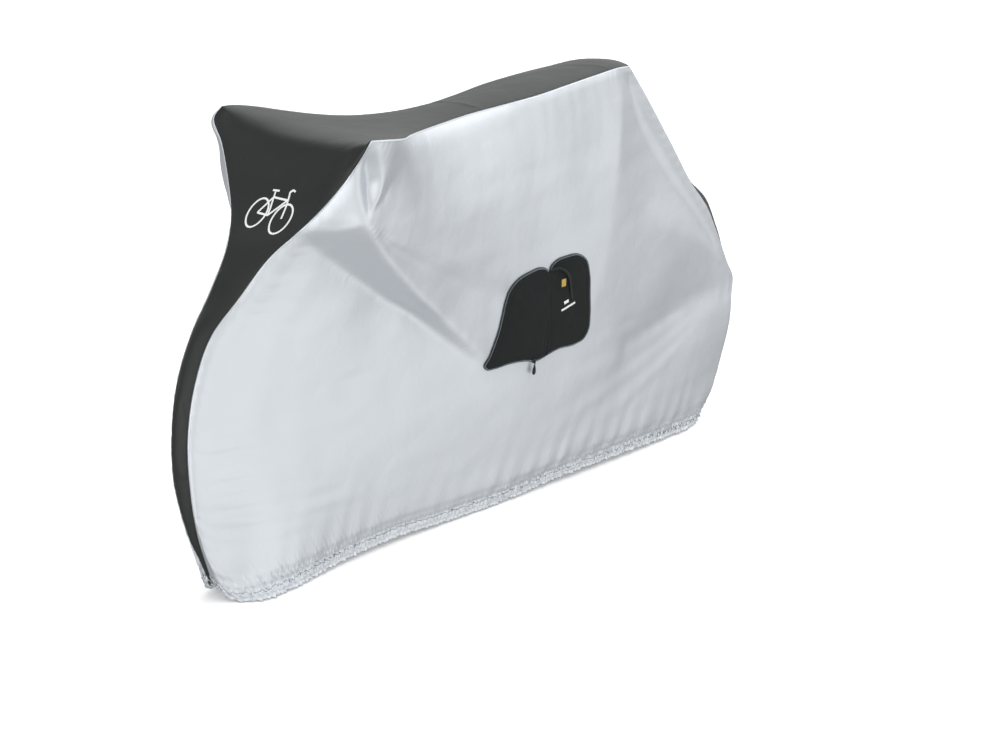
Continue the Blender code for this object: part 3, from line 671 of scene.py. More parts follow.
def centre_panel(front_shares, top_shares, across, seed):
    """Points of the centre panel's middle surface: stations by points across, near side first."""
    front = along(FRONT_SECTIONS, front_shares)
    top = along(TOP_SECTIONS, top_shares)
    rear = along(REAR_SECTIONS, front_shares)[::-1]
    rows = np.concatenate([front, top[1:], rear[1:]])
    path = rows[:, :2]
    ahead = heading(path)
    share = across[None, :]
    bulge = 4 * share * (1 - share)
    crown, sag = rows[:, 4:5] * bulge, rows[:, 5:6] * bulge
    x = path[:, :1] - ahead[:, 1:] * crown
    z = path[:, 1:] + ahead[:, :1] * crown - sag
    y = rows[:, FAR:FAR + 1] * share - rows[:, NEAR:NEAR + 1] * (1 - share)
    points = np.stack([x, y, z], axis=-1)

    # Away from its seams the cloth turns softly over the bar.
    middle = run_length(points)[:, len(across) // 2]
    from_bar = np.abs(middle - middle[len(front) - 1])
    soft = np.minimum(1.0, 2.2 * bulge) * np.exp(-(from_bar / BAR_REACH) ** 2)[:, None]
    for _ in range(BAR_PASSES):
        around = (points[2:] + points[:-2]) / 2
        points[1:-1] += 0.9 * soft[1:-1, :, None] * (around - points[1:-1])

    height = np.zeros(points.shape[:2])
    for start, end, rise, half_width in CENTRE_CREASES:
        height += rise * np.exp(-(from_line(points, start, end) / half_width) ** 2)
    length = run_length(points)
    side = points[..., 1]
    height += 0.0012 * rumple(length, side * 1.5, 0.120, seed)
    height += 0.0007 * rumple(length, side, 0.050, seed + 1)
    edge = np.minimum(share, 1 - share) * (rows[:, NEAR] + rows[:, FAR])[:, None]
    puckers = ripple(length, 0.018, seed + 2) * np.exp(-edge / 0.012)
    height = (height + 0.0010 * puckers) * (1 - np.exp(-edge / 0.004))
    return points + grid_normals(points) * height[..., None]


def turned_under(panel, side, front_shares, top_shares, rows, columns):
    """The centre panel's seam allowance under one side panel, in the centre panel's order."""
    inner = panel + side * ALLOWANCE_DEPTH * grid_normals(panel)

    def strips(lines, shares, at):
        """Points at the allowance's distances from the edge, read at the centre panel's shares."""
        spots = read_inside(lines, ALLOWANCE)
        return np.stack([read_at(at, shares, spots[:, k]) for k in range(len(ALLOWANCE))], axis=1)

    front = strips(inner[:EDGE_ROWS].transpose(1, 0, 2), rows, front_shares)
    top = strips(inner[:, :-EDGE_ROWS:-1], columns, top_shares)
    rear = strips(inner[:-EDGE_ROWS:-1].transpose(1, 0, 2), rows, front_shares)[::-1]
    corner = (front[-1] + top[0]) / 2
    other = (top[-1] + rear[0]) / 2
    return np.concatenate([front[:-1], corner[None], top[1:-1], other[None], rear[1:]])


def turned_hem(points, side):
    """The hem's cloth goes round under its band and comes up a little inside it."""
    inner = read_inside(points, HEM_TURN)
    inner[..., 1] -= side * np.array(HEM_TURN_IN)
    return np.concatenate([inner[:, ::-1], points], axis=1)


# ---- meshes ------------------------------------------------------------------------------------

def quads(numbers, step=1):
    """Faces between the points of a grid of numbers, each so many columns wide."""
    low, high = numbers[:-step:step], numbers[step::step]
    corners = (low[:, :-1], high[:, :-1], high[:, 1:], low[:, 1:])
    return np.stack(corners, axis=-1).reshape(-1, 4).tolist()


def ring_faces(rings, count, loop=False):
    """Faces between rings of points, with a lid on each end unless the rings close a loop."""
    faces = [(i * count + k, i * count + (k + 1) % count,
              (i + 1) % rings * count + (k + 1) % count, (i + 1) % rings * count + k)
             for i in range(rings if loop else rings - 1) for k in range(count)]
    if not loop:
        faces += [tuple(range(count))[::-1], tuple(range((rings - 1) * count, rings * count))]
    return faces


def placed(name, data):
    """A new object in the scene."""
    thing = bpy.data.objects.new(name, data)
    bpy.context.scene.collection.objects.link(thing)
    return thing


def fitted(name, mesh, materials, node):
    """A piece of the cover, which stands for its CAD node if it has one."""
    for material in materials:
        mesh.materials.append(material)
    piece = placed(name, mesh)
    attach(piece, "root")
    if node:
        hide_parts(node)
    return piece


def cloth(node, points, material, fine_rows=0):
    """The cloth of a panel through points[i, j], with a map of its lengths in metres. With
    fine_rows, the rows above those use only every second column."""
    columns, rows = points.shape[:2]
    at = np.arange(columns * rows).reshape(columns, rows)
    step = 2 if fine_rows else 1
    faces = quads(at[:, :fine_rows + 1])
    if fine_rows:
        for i in range(0, columns - 1, 2):
            low = at[i:i + 3, fine_rows]
            high = at[i:i + 3:2, fine_rows + 1]
            faces += [(low[0], low[1], high[0]), (low[1], high[1], high[0]),
                      (low[1], low[2], high[1])]
    faces += quads(at[:, fine_rows + step - 1:], step)
    used = np.unique([k for face in faces for k in face])
    number = np.zeros(columns * rows, int)
    number[used] = np.arange(len(used))
    mesh = bpy.data.meshes.new(node + "_cloth")
    mesh.from_pydata((points.reshape(-1, 3)[used] - MIDDLE).tolist(), [],
                     [[int(number[k]) for k in face] for face in faces])
    u, v = run_length(points, 0), run_length(points, 1)
    u = u - u[columns // 2]
    v = v - v[:, rows // 2, None]
    corners = np.empty(len(mesh.loops), np.int32)
    mesh.loops.foreach_get("vertex_index", corners)
    lengths = np.stack([u.ravel()[used][corners], v.ravel()[used][corners]], axis=-1)
    layer = mesh.uv_layers.new(name="cloth")
    layer.data.foreach_set("uv", lengths.astype(np.float32).ravel())
    mesh.shade_smooth()
    piece = fitted(node + "_cloth", mesh, [material], node)
    solid = piece.modifiers.new("thickness", "SOLIDIFY")
    solid.thickness = CLOTH
    solid.offset = 0.0
    return piece


def piece_of(name, parts, materials, node=None, smooth_faces=True):
    """One object from parts, each a pair of points and of faces that count the part's own points.
    A second material is the last part's."""
    points = []
    faces = []
    for part_points, part_faces in parts:
        faces += [tuple(k + len(points) for k in face) for face in part_faces]
        points += [tuple(point - MIDDLE) for point in part_points]
    mesh = bpy.data.meshes.new(name)
    mesh.from_pydata(points, [], faces)
    mesh.validate()
    shape = bmesh.new()
    shape.from_mesh(mesh)
    bmesh.ops.recalc_face_normals(shape, faces=shape.faces)
    shape.to_mesh(mesh)
    shape.free()
    if smooth_faces:
        mesh.shade_smooth()
    piece = fitted(name, mesh, materials, node)
    if len(materials) > 1:
        for face in mesh.polygons[len(mesh.polygons) - len(parts[-1][1]):]:
            face.material_index = 1
    return piece


def sweep(path, ups, profile, loop=False):
    """A closed band or cord: profile, given as (across, up) pairs, carried along the path."""
    path = np.asarray(path)
    ahead = heading(path, loop)
    across = unit(np.cross(ahead, np.broadcast_to(ups, path.shape)))
    ups = np.cross(across, ahead)
    count = np.shape(profile)[-2]
    profile = np.broadcast_to(profile, (len(path), count, 2))
    points = path[:, None] + across[:, None] * profile[..., :1] + ups[:, None] * profile[..., 1:]
    return points.reshape(-1, 3), ring_faces(len(path), count, loop)


def band_profile(width, thickness):
    """Section of a flat woven band with round edges, its underside at 0."""
    half = width / 2
    lip = thickness / 2
    flat = half - 0.4 * lip
    return [(-half, 0.5 * lip), (-flat, 0.0), (flat, 0.0), (half, 0.5 * lip),
            (half, 1.5 * lip), (flat, thickness), (-flat, thickness), (-half, 1.5 * lip)]


def circle(radius, count):
    turns = np.linspace(0, 2 * math.pi, count, endpoint=False)
    return np.stack([radius * np.cos(turns), radius * np.sin(turns)], axis=-1)


def even(points, spacing):
    """The same line with its points at even steps."""
    points = np.asarray(points, float)
    reach = run_length(points)
    at = np.linspace(0, reach[-1], max(2, int(round(reach[-1] / spacing)) + 1))
    return read_at(at, reach, points)


def rounded(points, spacing):
    """A smooth line through a few points, read at even steps."""
    points = np.asarray(points, float)
    reach = run_length(points)
    return even(smooth(reach, points, np.linspace(0, reach[-1], 40 * len(points))), spacing)


def tree_of(points):
    """The grid's surface, for laying other pieces on it."""
    numbers = np.arange(points.shape[0] * points.shape[1]).reshape(points.shape[:2])
    return BVHTree.FromPolygons([Vector(point) for point in points.reshape(-1, 3)], quads(numbers))


def laid(tree, spots, ahead, lifts):
    """Places on a surface, and the surface's outward normals there. spots are seen along ahead."""
    ahead = Vector(ahead)
    places = []
    normals = []
    for spot, lift in zip(spots, np.broadcast_to(lifts, len(spots))):
        place, normal, _, _ = tree.ray_cast(Vector(spot) - 2 * ahead, ahead)
        if normal.dot(ahead) > 0:
            normal = -normal
        places.append(np.array(place + normal * lift))
        normals.append(np.array(normal))
    return np.array(places), np.array(normals)


def on_near(tree, spots, lifts):
    """Places on the near side at x and z, lifted off the surface."""
    return laid(tree, [(x, 0.0, z) for x, z in spots], (0, 1, 0), lifts)


def stitch_line(path, ups, sizes):
    """Stitches along a line on the cloth: each a short thread that dips in at both ends."""
    length, gap, radius = sizes
    path = even(np.concatenate([path, ups], axis=1), 0.0008)
    reach = run_length(path[:, :3])
    shares, lifts, scales = np.transpose(STITCH_SHAPE)
    profile = circle(radius, 6) * scales[:, None, None]
    parts = []
    for start in np.arange(gap, reach[-1] - length, length + gap):
        rows = read_at(start + length * shares, reach, path)
        thread = rows[:, :3] + rows[:, 3:] * (radius * lifts)[:, None]
        parts.append(sweep(thread, rows[:, 3:], profile))
    return parts


def outward_of(line, ahead):
    """Square to a flat line that runs ahead, away from its middle."""
    outward = np.stack([ahead[:, 1], -ahead[:, 0]], axis=-1)
    return outward if np.sum((line - line.mean(axis=0)) * outward) > 0 else -outward


def drawn_in(outline, by):
    """A leaf's smooth outline, moved inward everywhere but at its spine."""
    line = even(rounded(outline + outline[:1], 0.002), 0.0022)[:-1]
    from_spine = np.abs(line[:, 0] - outline[0][0])
    return line - outward_of(line, heading(line, True)) * by * fade(from_spine, 0.0, 0.006)[:, None]


def free_edge(outline, offset):
    """A leaf's outline without its spine, moved outward by an offset."""
    line = rounded(outline, 0.0012)
    return line + outward_of(line, heading(line)) * offset


def leaf(outline, tree, seed):
    """A leaf of the pouch: two layers of cloth with a bound edge and a seam a little inside it."""
    outline = drawn_in(outline, ZIP_SHOWN)
    centre = outline.mean(axis=0)
    spokes = np.linalg.norm(outline - centre, axis=1)[:, None]

    def inset(distance):
        return outline + (centre - outline) * (distance / spokes)

    last = inset(LEAF_RINGS[-1])
    rings = np.array([inset(distance) for distance in LEAF_RINGS]
                     + [last + (centre - last) * share for share in np.linspace(0.10, 0.96, 13)])
    x, z = rings[..., 0], rings[..., 1]
    away = np.ones(x.shape)
    for start, end in zip(outline, np.roll(outline, -1, axis=0)):
        away = np.minimum(away, from_segment(x, z, start, end))
    from_edge = 1 - np.minimum(away, LEAF_EDGE_ROUND) / LEAF_EDGE_ROUND
    edge_rise = np.sqrt(np.clip(1 - from_edge ** 2, 0.0, 1.0))
    height = LEAF_UNDER + 0.4 * LEAF_EDGE + 0.6 * LEAF_EDGE * edge_rise
    height += LEAF_CROWN * (1 - np.exp(-away / 0.030))
    height -= LEAF_SEAM_DEPTH * np.exp(-((away - LEAF_SEAM_IN) / LEAF_SEAM_WIDTH) ** 2)
    height += 0.0009 * rumple(x, z, 0.045, seed) * fade(away, 0.004, 0.03)
    height += 0.0005 * rumple(x + z, z, 0.020, seed + 1) * fade(away, 0.004, 0.02)
    top, _ = on_near(tree, rings.reshape(-1, 2), height.ravel())
    below, _ = on_near(tree, np.concatenate([inset(0.020), inset(0.0006)]), LEAF_UNDER)
    return np.concatenate([below, top]), ring_faces(len(rings) + 2, len(outline))


def zip_half(outline, tree):
    """Half of the pouch's zip along a leaf's free edge: its tape, and its coil of nylon thread."""
    tape, tape_ups = on_near(tree, even(free_edge(outline, TAPE_OUT - ZIP_SHOWN), 0.0030),
                             TAPE_LIFT)
    middle, ups = on_near(tree, even(free_edge(outline, COIL_OUT), 0.0006),
                          TAPE_LIFT + TAPE_THICKNESS)
    reach = run_length(middle)
    at = np.arange(0.004, reach[-1] - 0.004, COIL_PITCH / 8)
    rows = read_at(at, reach, np.concatenate([middle, ups], axis=1))
    middle, ups = rows[:, :3], rows[:, 3:]
    across = unit(np.cross(heading(middle), ups))
    turn = 2 * math.pi * at[:, None] / COIL_PITCH
    coil = middle + COIL_RADIUS * (np.cos(turn) * 1.25 * across + (1.0 + np.sin(turn)) * ups)
    return [sweep(tape, tape_ups, band_profile(TAPE_WIDTH, TAPE_THICKNESS)),
            sweep(coil, ups, circle(COIL_THREAD, 5))]


def plate(outline, low, high, place, right, up, out):
    """A small plate with eased edges, from an outline in its own plane."""
    middle = outline.mean(axis=0)
    ease = 0.18 * (high - low)
    points = []
    for level, scale in ((low, 0.86), (low + ease, 1.0), (high - ease, 1.0), (high, 0.86)):
        points += [place + across * right + upward * up + level * out
                   for across, upward in middle + (outline - middle) * scale]
    return np.array(points), ring_faces(4, len(outline))


def drop_outline(length, width, tip):
    """A teardrop that hangs from 0 down to its length, narrow at the top."""
    cosines, sines = circle(1.0, 28).T
    down = (1 - cosines) / 2
    return np.stack([sines * (tip + (width / 2 - tip) * down ** 0.8), -length * down], axis=-1)


# ---- materials ---------------------------------------------------------------------------------

def linear(colour):
    """A colour written as sRGB hex, turned to the linear values that the shader takes."""
    parts = [int(colour[k:k + 2], 16) / 255 for k in (1, 3, 5)]
    parts = [c / 12.92 if c <= 0.04045 else ((c + 0.055) / 1.055) ** 2.4 for c in parts]
    return (*parts, 1.0)


def add(tree, kind, inputs=None, **settings):
    """Adds a node with its settings, its numbers and its links from other nodes' outputs."""
    node = tree.nodes.new("ShaderNode" + kind)
    for name, value in settings.items():
        setattr(node, name, value)
    for name, value in (inputs or {}).items():
        if isinstance(value, bpy.types.NodeSocket):
            tree.links.new(value, node.inputs[name])
        else:
            node.inputs[name].default_value = value
    return node


def new_material(name, numbers):
    """A material with the numbers that are the same all over it."""
    material = bpy.data.materials.new(name)
    material.use_nodes = True
    shader = material.node_tree.nodes["Principled BSDF"]
    for socket, value in numbers.items():
        shader.inputs[socket].default_value = value
    return material, material.node_tree, shader


def thread_heights(tree, place, spacing, directions=("X", "Y")):
    """Warp and weft as two crossing sets of ribs, one thread spacing apart."""
    warp, weft = (add(tree, "TexWave",
                      {"Vector": place, "Scale": math.pi / 10 / spacing, "Distortion": 0.0},
                      bands_direction=direction).outputs["Fac"] for direction in directions)
    return add(tree, "Math", {0: warp, 1: weft}, operation="MULTIPLY").outputs[0]


def finish(tree, shader, share, colours, layers=()):
    """Gives a surface its colour, between two, and its relief. A layer of relief is its strength,
    its depth and its heights."""
    first, second = (linear(colour) for colour in colours)
    colour = add(tree, "Mix", {0: share, 6: first, 7: second}, data_type="RGBA").outputs[2]
    tree.links.new(colour, shader.inputs["Base Color"])
    below = {}
    for strength, depth, heights in layers:
        bump = add(tree, "Bump", {"Strength": strength, "Distance": depth, "Height": heights,
                                  **below})
        below = {"Normal": bump.outputs["Normal"]}
        tree.links.new(bump.outputs["Normal"], shader.inputs["Normal"])


def silver_taffeta():
    """Polyester taffeta with a silver polyurethane coat, rolled on: a bright, soft metallic sheen
    over cloth that keeps the small crinkles it was packed with."""
    material, tree, shader = new_material("silver_coated_taffeta",
                                          {"Metallic": 0.60, "Sheen Weight": 0.10})
    place = add(tree, "UVMap", uv_map="cloth").outputs["UV"]
    # Soft crinkles about 30 mm across, which also wear the coat a little duller.
    crinkles = add(tree, "TexNoise", {"Vector": place, "Scale": 1 / 0.030, "Detail": 4.0,
                                      "Roughness": 0.55, "Distortion": 0.4}).outputs["Fac"]
    # Sharp little creases between facets about 55 mm across.
    warp = add(tree, "TexNoise", {"Vector": place, "Scale": 1 / 0.060, "Detail": 2.0})
    bent = add(tree, "VectorMath", {0: warp.outputs["Color"], 1: (0.03, 0.03, 0.03), 2: place},
               operation="MULTIPLY_ADD").outputs["Vector"]
    facets = add(tree, "TexVoronoi", {"Vector": bent, "Scale": 1 / 0.055},
                 feature="DISTANCE_TO_EDGE").outputs["Distance"]
    creases = add(tree, "MapRange", {"Value": facets, "From Min": 0.0, "From Max": 0.10})
    # The real threads lie 0.12 mm apart, too fine to show, so they are drawn 1.4 mm apart.
    threads = thread_heights(tree, place, 0.0014)
    patches = add(tree, "TexNoise", {"Vector": place, "Scale": 1 / 0.22, "Detail": 3.0})
    finish(tree, shader, patches.outputs["Fac"], ("#D2D7DC", "#D9DEE3"),
           [(0.20, 0.0030, crinkles), (0.07, 0.0012, creases.outputs["Result"]),
            (0.15, 0.0001, threads)])
    worn = add(tree, "MapRange", {"Value": crinkles, "To Min": 0.36, "To Max": 0.46})
    tree.links.new(worn.outputs["Result"], shader.inputs["Roughness"])
    return material


def charcoal_taffeta():
    """Polyester taffeta, dyed charcoal and coated on the inside: dull seen square on, and grey with
    sky light where it turns away from the eye."""
    material, tree, shader = new_material(
        "charcoal_coated_taffeta",
        {"Roughness": 0.44, "Specular IOR Level": 0.40, "Sheen Weight": 0.05})
    place = add(tree, "UVMap", uv_map="cloth").outputs["UV"]
    crinkles = add(tree, "TexNoise", {"Vector": place, "Scale": 1 / 0.035, "Detail": 4.0,
                                      "Roughness": 0.5, "Distortion": 0.3}).outputs["Fac"]
    # The real threads lie 0.15 mm apart, too fine to show, so they are drawn 1.6 mm apart.
    threads = thread_heights(tree, place, 0.0016)
    patches = add(tree, "TexNoise", {"Vector": place, "Scale": 1 / 0.15, "Detail": 3.0})
    finish(tree, shader, patches.outputs["Fac"], ("#141918", "#1A201F"),
           [(0.30, 0.0030, crinkles), (0.25, 0.0002, threads)])
    return material


def dyed_cloth(name, colours, spacing, roughness, relief):
    """Woven nylon or polyester dyed in one colour, with ribs of the given spacing: matt, with a
    faint pale sheen where it turns away."""
    material, tree, shader = new_material(
        name, {"Roughness": roughness, "Specular IOR Level": 0.18, "Sheen Weight": 0.05})
    place = add(tree, "TexCoord").outputs["Object"]
    threads = thread_heights(tree, place, spacing, ("X", "Z"))
    rough = add(tree, "TexNoise", {"Vector": place, "Scale": 1 / 0.018, "Detail": 4.0})
    patches = add(tree, "TexNoise", {"Vector": place, "Scale": 1 / 0.05, "Detail": 3.0})
    finish(tree, shader, patches.outputs["Fac"], colours,
           [(relief, 0.0012, rough.outputs["Fac"]), (0.6, spacing / 4, threads)])
    return material


def black_enamel():
    """Die-cast zinc with a stoved black enamel: smooth and glossy, with worn high spots."""
    material, tree, shader = new_material("black_enamelled_zinc", {"Coat Weight": 0.4})
    place = add(tree, "TexCoord").outputs["Object"]
    wear = add(tree, "TexNoise", {"Vector": place, "Scale": 1 / 0.002, "Detail": 4.0})
    finish(tree, shader, wear.outputs["Fac"], ("#1E2022", "#34373A"))
    gloss = add(tree, "MapRange", {"Value": wear.outputs["Fac"], "To Min": 0.22, "To Max": 0.45})
    tree.links.new(gloss.outputs["Result"], shader.inputs["Roughness"])
    return material


def white_ink():
    """White screen-print ink on cloth: an even matt film, slightly broken by the threads."""
    material, tree, shader = new_material("white_screen_print_ink", {"Roughness": 0.6})
    place = add(tree, "TexCoord").outputs["Object"]
    threads = thread_heights(tree, place, 0.0016, ("Y", "Z"))
    thin = add(tree, "MapRange", {"Value": threads, "To Min": 0.0, "To Max": 0.35})
    finish(tree, shader, thin.outputs["Result"], ("#F2F4F4", "#DADDDD"), [(0.3, 0.0002, threads)])
    return material


# ---- the panels --------------------------------------------------------------------------------

silver = silver_taffeta()
charcoal = charcoal_taffeta()
#                           name                     colours                 ribs   rough relief
pouch_cloth = dyed_cloth("pouch_oxford_nylon", ("#101515", "#171D1C"), 0.0015, 0.62, 0.5)
tape_cloth = dyed_cloth("polyester_zip_tape", ("#252C2F", "#333B3F"), 0.0012, 0.60, 0.2)
coil_nylon = dyed_cloth("nylon_zip_coil", ("#767F85", "#8B949A"), 0.0010, 0.40, 0.1)
webbing = dyed_cloth("nylon_webbing", ("#1D2424", "#282F2F"), 0.0018, 0.60, 0.2)
label_weave = dyed_cloth("woven_label_polyester", ("#B99A3C", "#D6B754"), 0.0008, 0.55, 0.1)
hem_thread = dyed_cloth("dark_polyester_thread", ("#3C4346", "#4B5356"), 0.0006, 0.60, 0.1)
seam_thread = dyed_cloth("grey_polyester_thread", ("#A9AFB4", "#BCC2C7"), 0.0006, 0.60, 0.1)
enamel = black_enamel()
ink = white_ink()

# The grids are finest at the seams, at the hem and round the bar end.
NEAR_COLUMNS = crowded(580, [(0.0, 2.0, 0.01), (0.16, 1.0, 0.10), (1.0, 2.0, 0.02)])
NEAR_ROWS = crowded(124, [(0.0, 2.5, 0.03), (0.78, 0.6, 0.10), (1.0, 2.0, 0.02)])
FAR_COLUMNS = crowded(460, [(0.0, 2.0, 0.01), (0.16, 1.0, 0.10), (1.0, 2.0, 0.02)])
FAR_ROWS = crowded(110, [(0.0, 2.5, 0.03), (1.0, 2.0, 0.02)])
FRONT_SHARES = crowded(190, [(1.0, 1.0, 0.03)])
TOP_SHARES = crowded(190, [(0.0, 1.0, 0.03)])
ACROSS = np.linspace(0.0, 1.0, 25)

near = side_panel(NEAR_BELLY, NEAR_LINES, NEAR_PUCKERS, NEAR_COLUMNS, NEAR_ROWS, side=-1, seed=7)
far = side_panel(FAR_BELLY, FAR_LINES, FAR_PUCKERS, FAR_COLUMNS, FAR_ROWS, side=1, seed=207)
centre = centre_panel(FRONT_SHARES, TOP_SHARES, ACROSS, seed=407)
near_under = turned_under(near, -1, FRONT_SHARES, TOP_SHARES, NEAR_ROWS, NEAR_COLUMNS)
far_under = turned_under(far, 1, FRONT_SHARES, TOP_SHARES, FAR_ROWS, FAR_COLUMNS)
whole_centre = np.concatenate([near_under[:, ::-1], centre[:, 1:-1], far_under], axis=1)

near_piece = cloth("side_panel_near", turned_hem(near, -1), silver, FINE_ROWS)
far_piece = cloth("side_panel_far", turned_hem(far, 1), silver, FINE_ROWS)
centre_piece = cloth("centre_panel", whole_centre, charcoal)

# ---- the stitches ------------------------------------------------------------------------------

for label, panel, side in (("near", near, -1), ("far", far, 1)):
    both = np.concatenate([panel, grid_normals(panel) * -side], axis=2)
    hem_line = [(read_inside(both, HEM_BAND)[4:-4], HEM_STITCH)]
    # The seams' stitches start above the hem and stop short of the panel's upper corners.
    edges = (both.transpose(1, 0, 2)[14:-3], both[::-1].transpose(1, 0, 2)[14:-3],
             both[:, ::-1][3:-3])
    seam_lines = [(read_inside(edge, SEAM_STITCH_IN), SEAM_STITCH) for edge in edges]
    for kind, lines, thread in (("hem", hem_line, hem_thread), ("seam", seam_lines, seam_thread)):
        parts = []
        for line, sizes in lines:
            parts += stitch_line(line[:, :3] + line[:, 3:] * CLOTH / 2, line[:, 3:], sizes)
        piece_of(kind + "_stitches_" + label, parts, [thread])

# ---- the pouch ---------------------------------------------------------------------------------

near_tree = tree_of(near + grid_normals(near) * CLOTH / 2)
front_leaf = leaf(FRONT_LEAF, near_tree, seed=501)
rear_leaf = leaf(REAR_LEAF, near_tree, seed=531)
for end, shape in (("front", front_leaf), ("rear", rear_leaf)):
    node = "pouch_leaf_" + end
    piece_of(node + "_cloth", [shape], [pouch_cloth], node)
for end, outline in (("front", FRONT_LEAF), ("rear", REAR_LEAF)):
    node = "pouch_zip_" + end
    zip_parts = zip_half(outline, near_tree)
    piece_of(node + "_coil", zip_parts, [tape_cloth, coil_nylon], node)

both_leaves = [Vector(point) for point in np.concatenate([front_leaf[0], rear_leaf[0]])]
leaf_faces = front_leaf[1] + [tuple(k + len(front_leaf[0]) for k in f) for f in rear_leaf[1]]
leaf_tree = BVHTree.FromPolygons(both_leaves, leaf_faces)

route = rounded(STRAP_ROUTE, 0.0020)
strap, strap_ups = on_near(leaf_tree, route[:, (0, 1)], route[:, 2] + LAID_LIFT)
piece_of("pouch_strap_webbing", [sweep(strap, unit(strap_ups.mean(axis=0)),
                                       band_profile(STRAP_WIDTH, STRAP_THICKNESS))],
         [webbing], "pouch_strap")

# The label: a woven rectangle, sewn down round its edge.
half = np.array(LABEL_SIZE) / 2
column = [(LABEL_AT[0], LABEL_AT[1] + up) for up in np.linspace(-half[1], half[1], 9)]
middle, ups = on_near(leaf_tree, column, LAID_LIFT)
piece_of("pouch_label_weave", [sweep(middle, ups, band_profile(LABEL_SIZE[0], LABEL_THICKNESS))],
         [label_weave], "pouch_label")
corners = np.array([(-1, -1), (1, -1), (1, 1), (-1, 1), (-1, -1)])
frame_line = even(np.array(LABEL_AT) + corners * (half - LABEL_STITCH_IN), 0.001)
middle, ups = on_near(leaf_tree, frame_line, 0.0011)
piece_of("pouch_label_stitches", stitch_line(middle, ups, LABEL_STITCH), [seam_thread])

bars = []
for x, z, length, width, tilt in POUCH_BARS:
    run = np.array((math.cos(math.radians(tilt)), math.sin(math.radians(tilt)))) * length / 2
    ends = even([np.array((x, z)) - run, np.array((x, z)) + run], 0.002)
    middle, ups = on_near(leaf_tree, ends, LAID_LIFT)
    bars.append(sweep(middle, ups, band_profile(width, 0.0004)))
piece_of("pouch_print_bars", bars, [ink])

# The zip's slider: two plates, the bridge between them and the arch that holds the pull's link.
(seat,), (out,) = on_near(near_tree, [SLIDER_AT], SLIDER_LIFT)
down = unit(np.array((0.0, 0.0, -1.0)) + out * out[2])
right = np.cross(out, down)
body = np.array(SLIDER_SHAPE) * SLIDER_SIZE
slider = [plate(shape, low, high, seat, -down, right, out)
          for shape, low, high in ((body, 0.0000, 0.0012), (body, 0.0034, 0.0047),
                                   (0.45 * body + np.array((0.0030, 0.0)), 0.0010, 0.0036))]
arch = rounded([seat - back * down + up * out for back, up in SLIDER_ARCH], 0.0005)
slider.append(sweep(arch, right, band_profile(0.0024, 0.0011)))
piece_of("pouch_slider_cast", slider, [enamel], "pouch_slider", smooth_faces=False)

# The pull: a link, and the drop that hangs from it at the foot of the spine.
ring = seat + 0.0062 * out
link = [ring + down * (LINK_LENGTH - LINK_LENGTH * cosine) + right * LINK_WIDTH * sine
        for cosine, sine in circle(1.0, 24)]
piece_of("pouch_pull_drop",
         [sweep(link, out, circle(0.00065, 8), loop=True),
          plate(drop_outline(PULL_LENGTH - 0.009, PULL_WIDTH, 0.0014), -0.0014, 0.0014,
                ring + 0.0070 * down, right, -down, out)],
         [webbing], "pouch_pull")

# ---- the print on the front panel --------------------------------------------------------------

front_tree = tree_of(centre + grid_normals(centre) * CLOTH / 2)
print_parts = []
wheels = [(np.array(hub) + circle(PRINT_WHEEL, 48), True) for hub in PRINT_HUBS]
tubes = [(even(line, 0.0025), False) for line in PRINT_LINES]
for line, loop in wheels + tubes:
    spots = [(0.0, PRINT_AT[0] - across, PRINT_AT[1] + up) for across, up in line]
    middle, ups = laid(front_tree, spots, (1, 0, 0), 0.0001 + 0.00002 * len(print_parts))
    print_parts.append(sweep(middle, ups, band_profile(PRINT_LINE, 0.0003), loop))
piece_of("front_print_bicycle", print_parts, [ink])

# ---- the view ----------------------------------------------------------------------------------

# The floor glows a little, as a table lit through its top does.
FLOOR_GLOW = 0.25
WHITE = (1.0, 1.0, 1.0, 1.0)
floor_mesh = bpy.data.meshes.new("floor")
floor_shape = bmesh.new()
bmesh.ops.create_grid(floor_shape, x_segments=8, y_segments=8, size=20.0)
floor_shape.to_mesh(floor_mesh)
floor_shape.free()
floor = placed("floor", floor_mesh)
paint, _, _ = new_material("pale_floor_paint", {
    "Base Color": linear("#FDFDFD"), "Roughness": 0.9, "Specular IOR Level": 0.1,
    "Emission Color": WHITE, "Emission Strength": FLOOR_GLOW})
floor.data.materials.append(paint)
floor.visible_diffuse = False
floor.visible_glossy = False

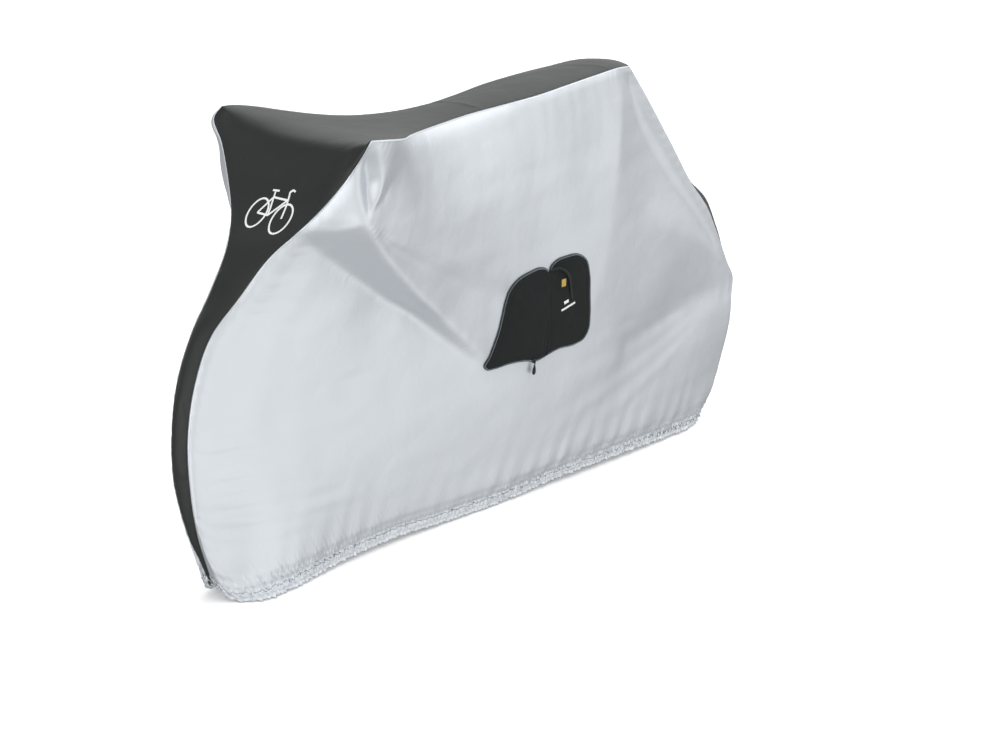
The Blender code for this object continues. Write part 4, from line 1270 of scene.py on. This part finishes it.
VIEW_AZIMUTH = math.radians(-45.006)
VIEW_ELEVATION = math.radians(18.667)
VIEW_DISTANCE = 5.178
VIEW_TARGET = Vector((0.057, -0.014, 0.287))
camera_data = bpy.data.cameras.new("camera")
camera_data.lens = 79.17
camera_data.sensor_width = 36.0
camera_data.clip_end = 60.0
camera = placed("camera", camera_data)
towards_eye = Vector((math.sin(VIEW_AZIMUTH) * math.cos(VIEW_ELEVATION),
                      -math.cos(VIEW_AZIMUTH) * math.cos(VIEW_ELEVATION),
                      math.sin(VIEW_ELEVATION)))
camera.location = VIEW_TARGET + towards_eye * VIEW_DISTANCE
camera.rotation_euler = towards_eye.to_track_quat("Z", "Y").to_euler()
bpy.context.scene.camera = camera

# Soft studio light: large pale screens round the cover, and how bright each one is. A screen fades
# out evenly from its own direction.
SCREENS = [
    ((-1.00, 0.00, 0.00), 2.12),    # left
    ((0.00, -1.00, 0.00), 0.80),    # front
    ((0.60, 0.70, 0.35), 0.64),     # behind on the right
    ((0.63, -0.23, 0.74), 1.58),    # high on the right
    ((0.26, -0.72, -0.64), 0.72),   # low in front
    ((0.00, 0.00, 1.00), 0.72),     # above
    ((0.00, 0.00, -1.00), 0.28),    # below
]
ROOM_LEVEL = 0.08
SCREEN_FADE = 3.0

world = bpy.data.worlds.new("studio")
world.use_nodes = True
sky = world.node_tree
direction = add(sky, "TexCoord").outputs["Generated"]
brightness = ROOM_LEVEL
for towards, level in SCREENS:
    facing = add(sky, "VectorMath", {0: direction, 1: Vector(towards).normalized()},
                 operation="DOT_PRODUCT").outputs["Value"]
    facing = add(sky, "Math", {0: facing, 1: 0.0}, operation="MAXIMUM").outputs[0]
    shape = add(sky, "Math", {0: facing, 1: SCREEN_FADE}, operation="POWER").outputs[0]
    brightness = add(sky, "Math", {0: shape, 1: level, 2: brightness},
                     operation="MULTIPLY_ADD").outputs[0]
sky.links.new(brightness, sky.nodes["Background"].inputs["Strength"])
sky.nodes["Background"].inputs["Color"].default_value = WHITE

bpy.context.scene.world = world
bpy.context.scene.view_settings.view_transform = "Standard"
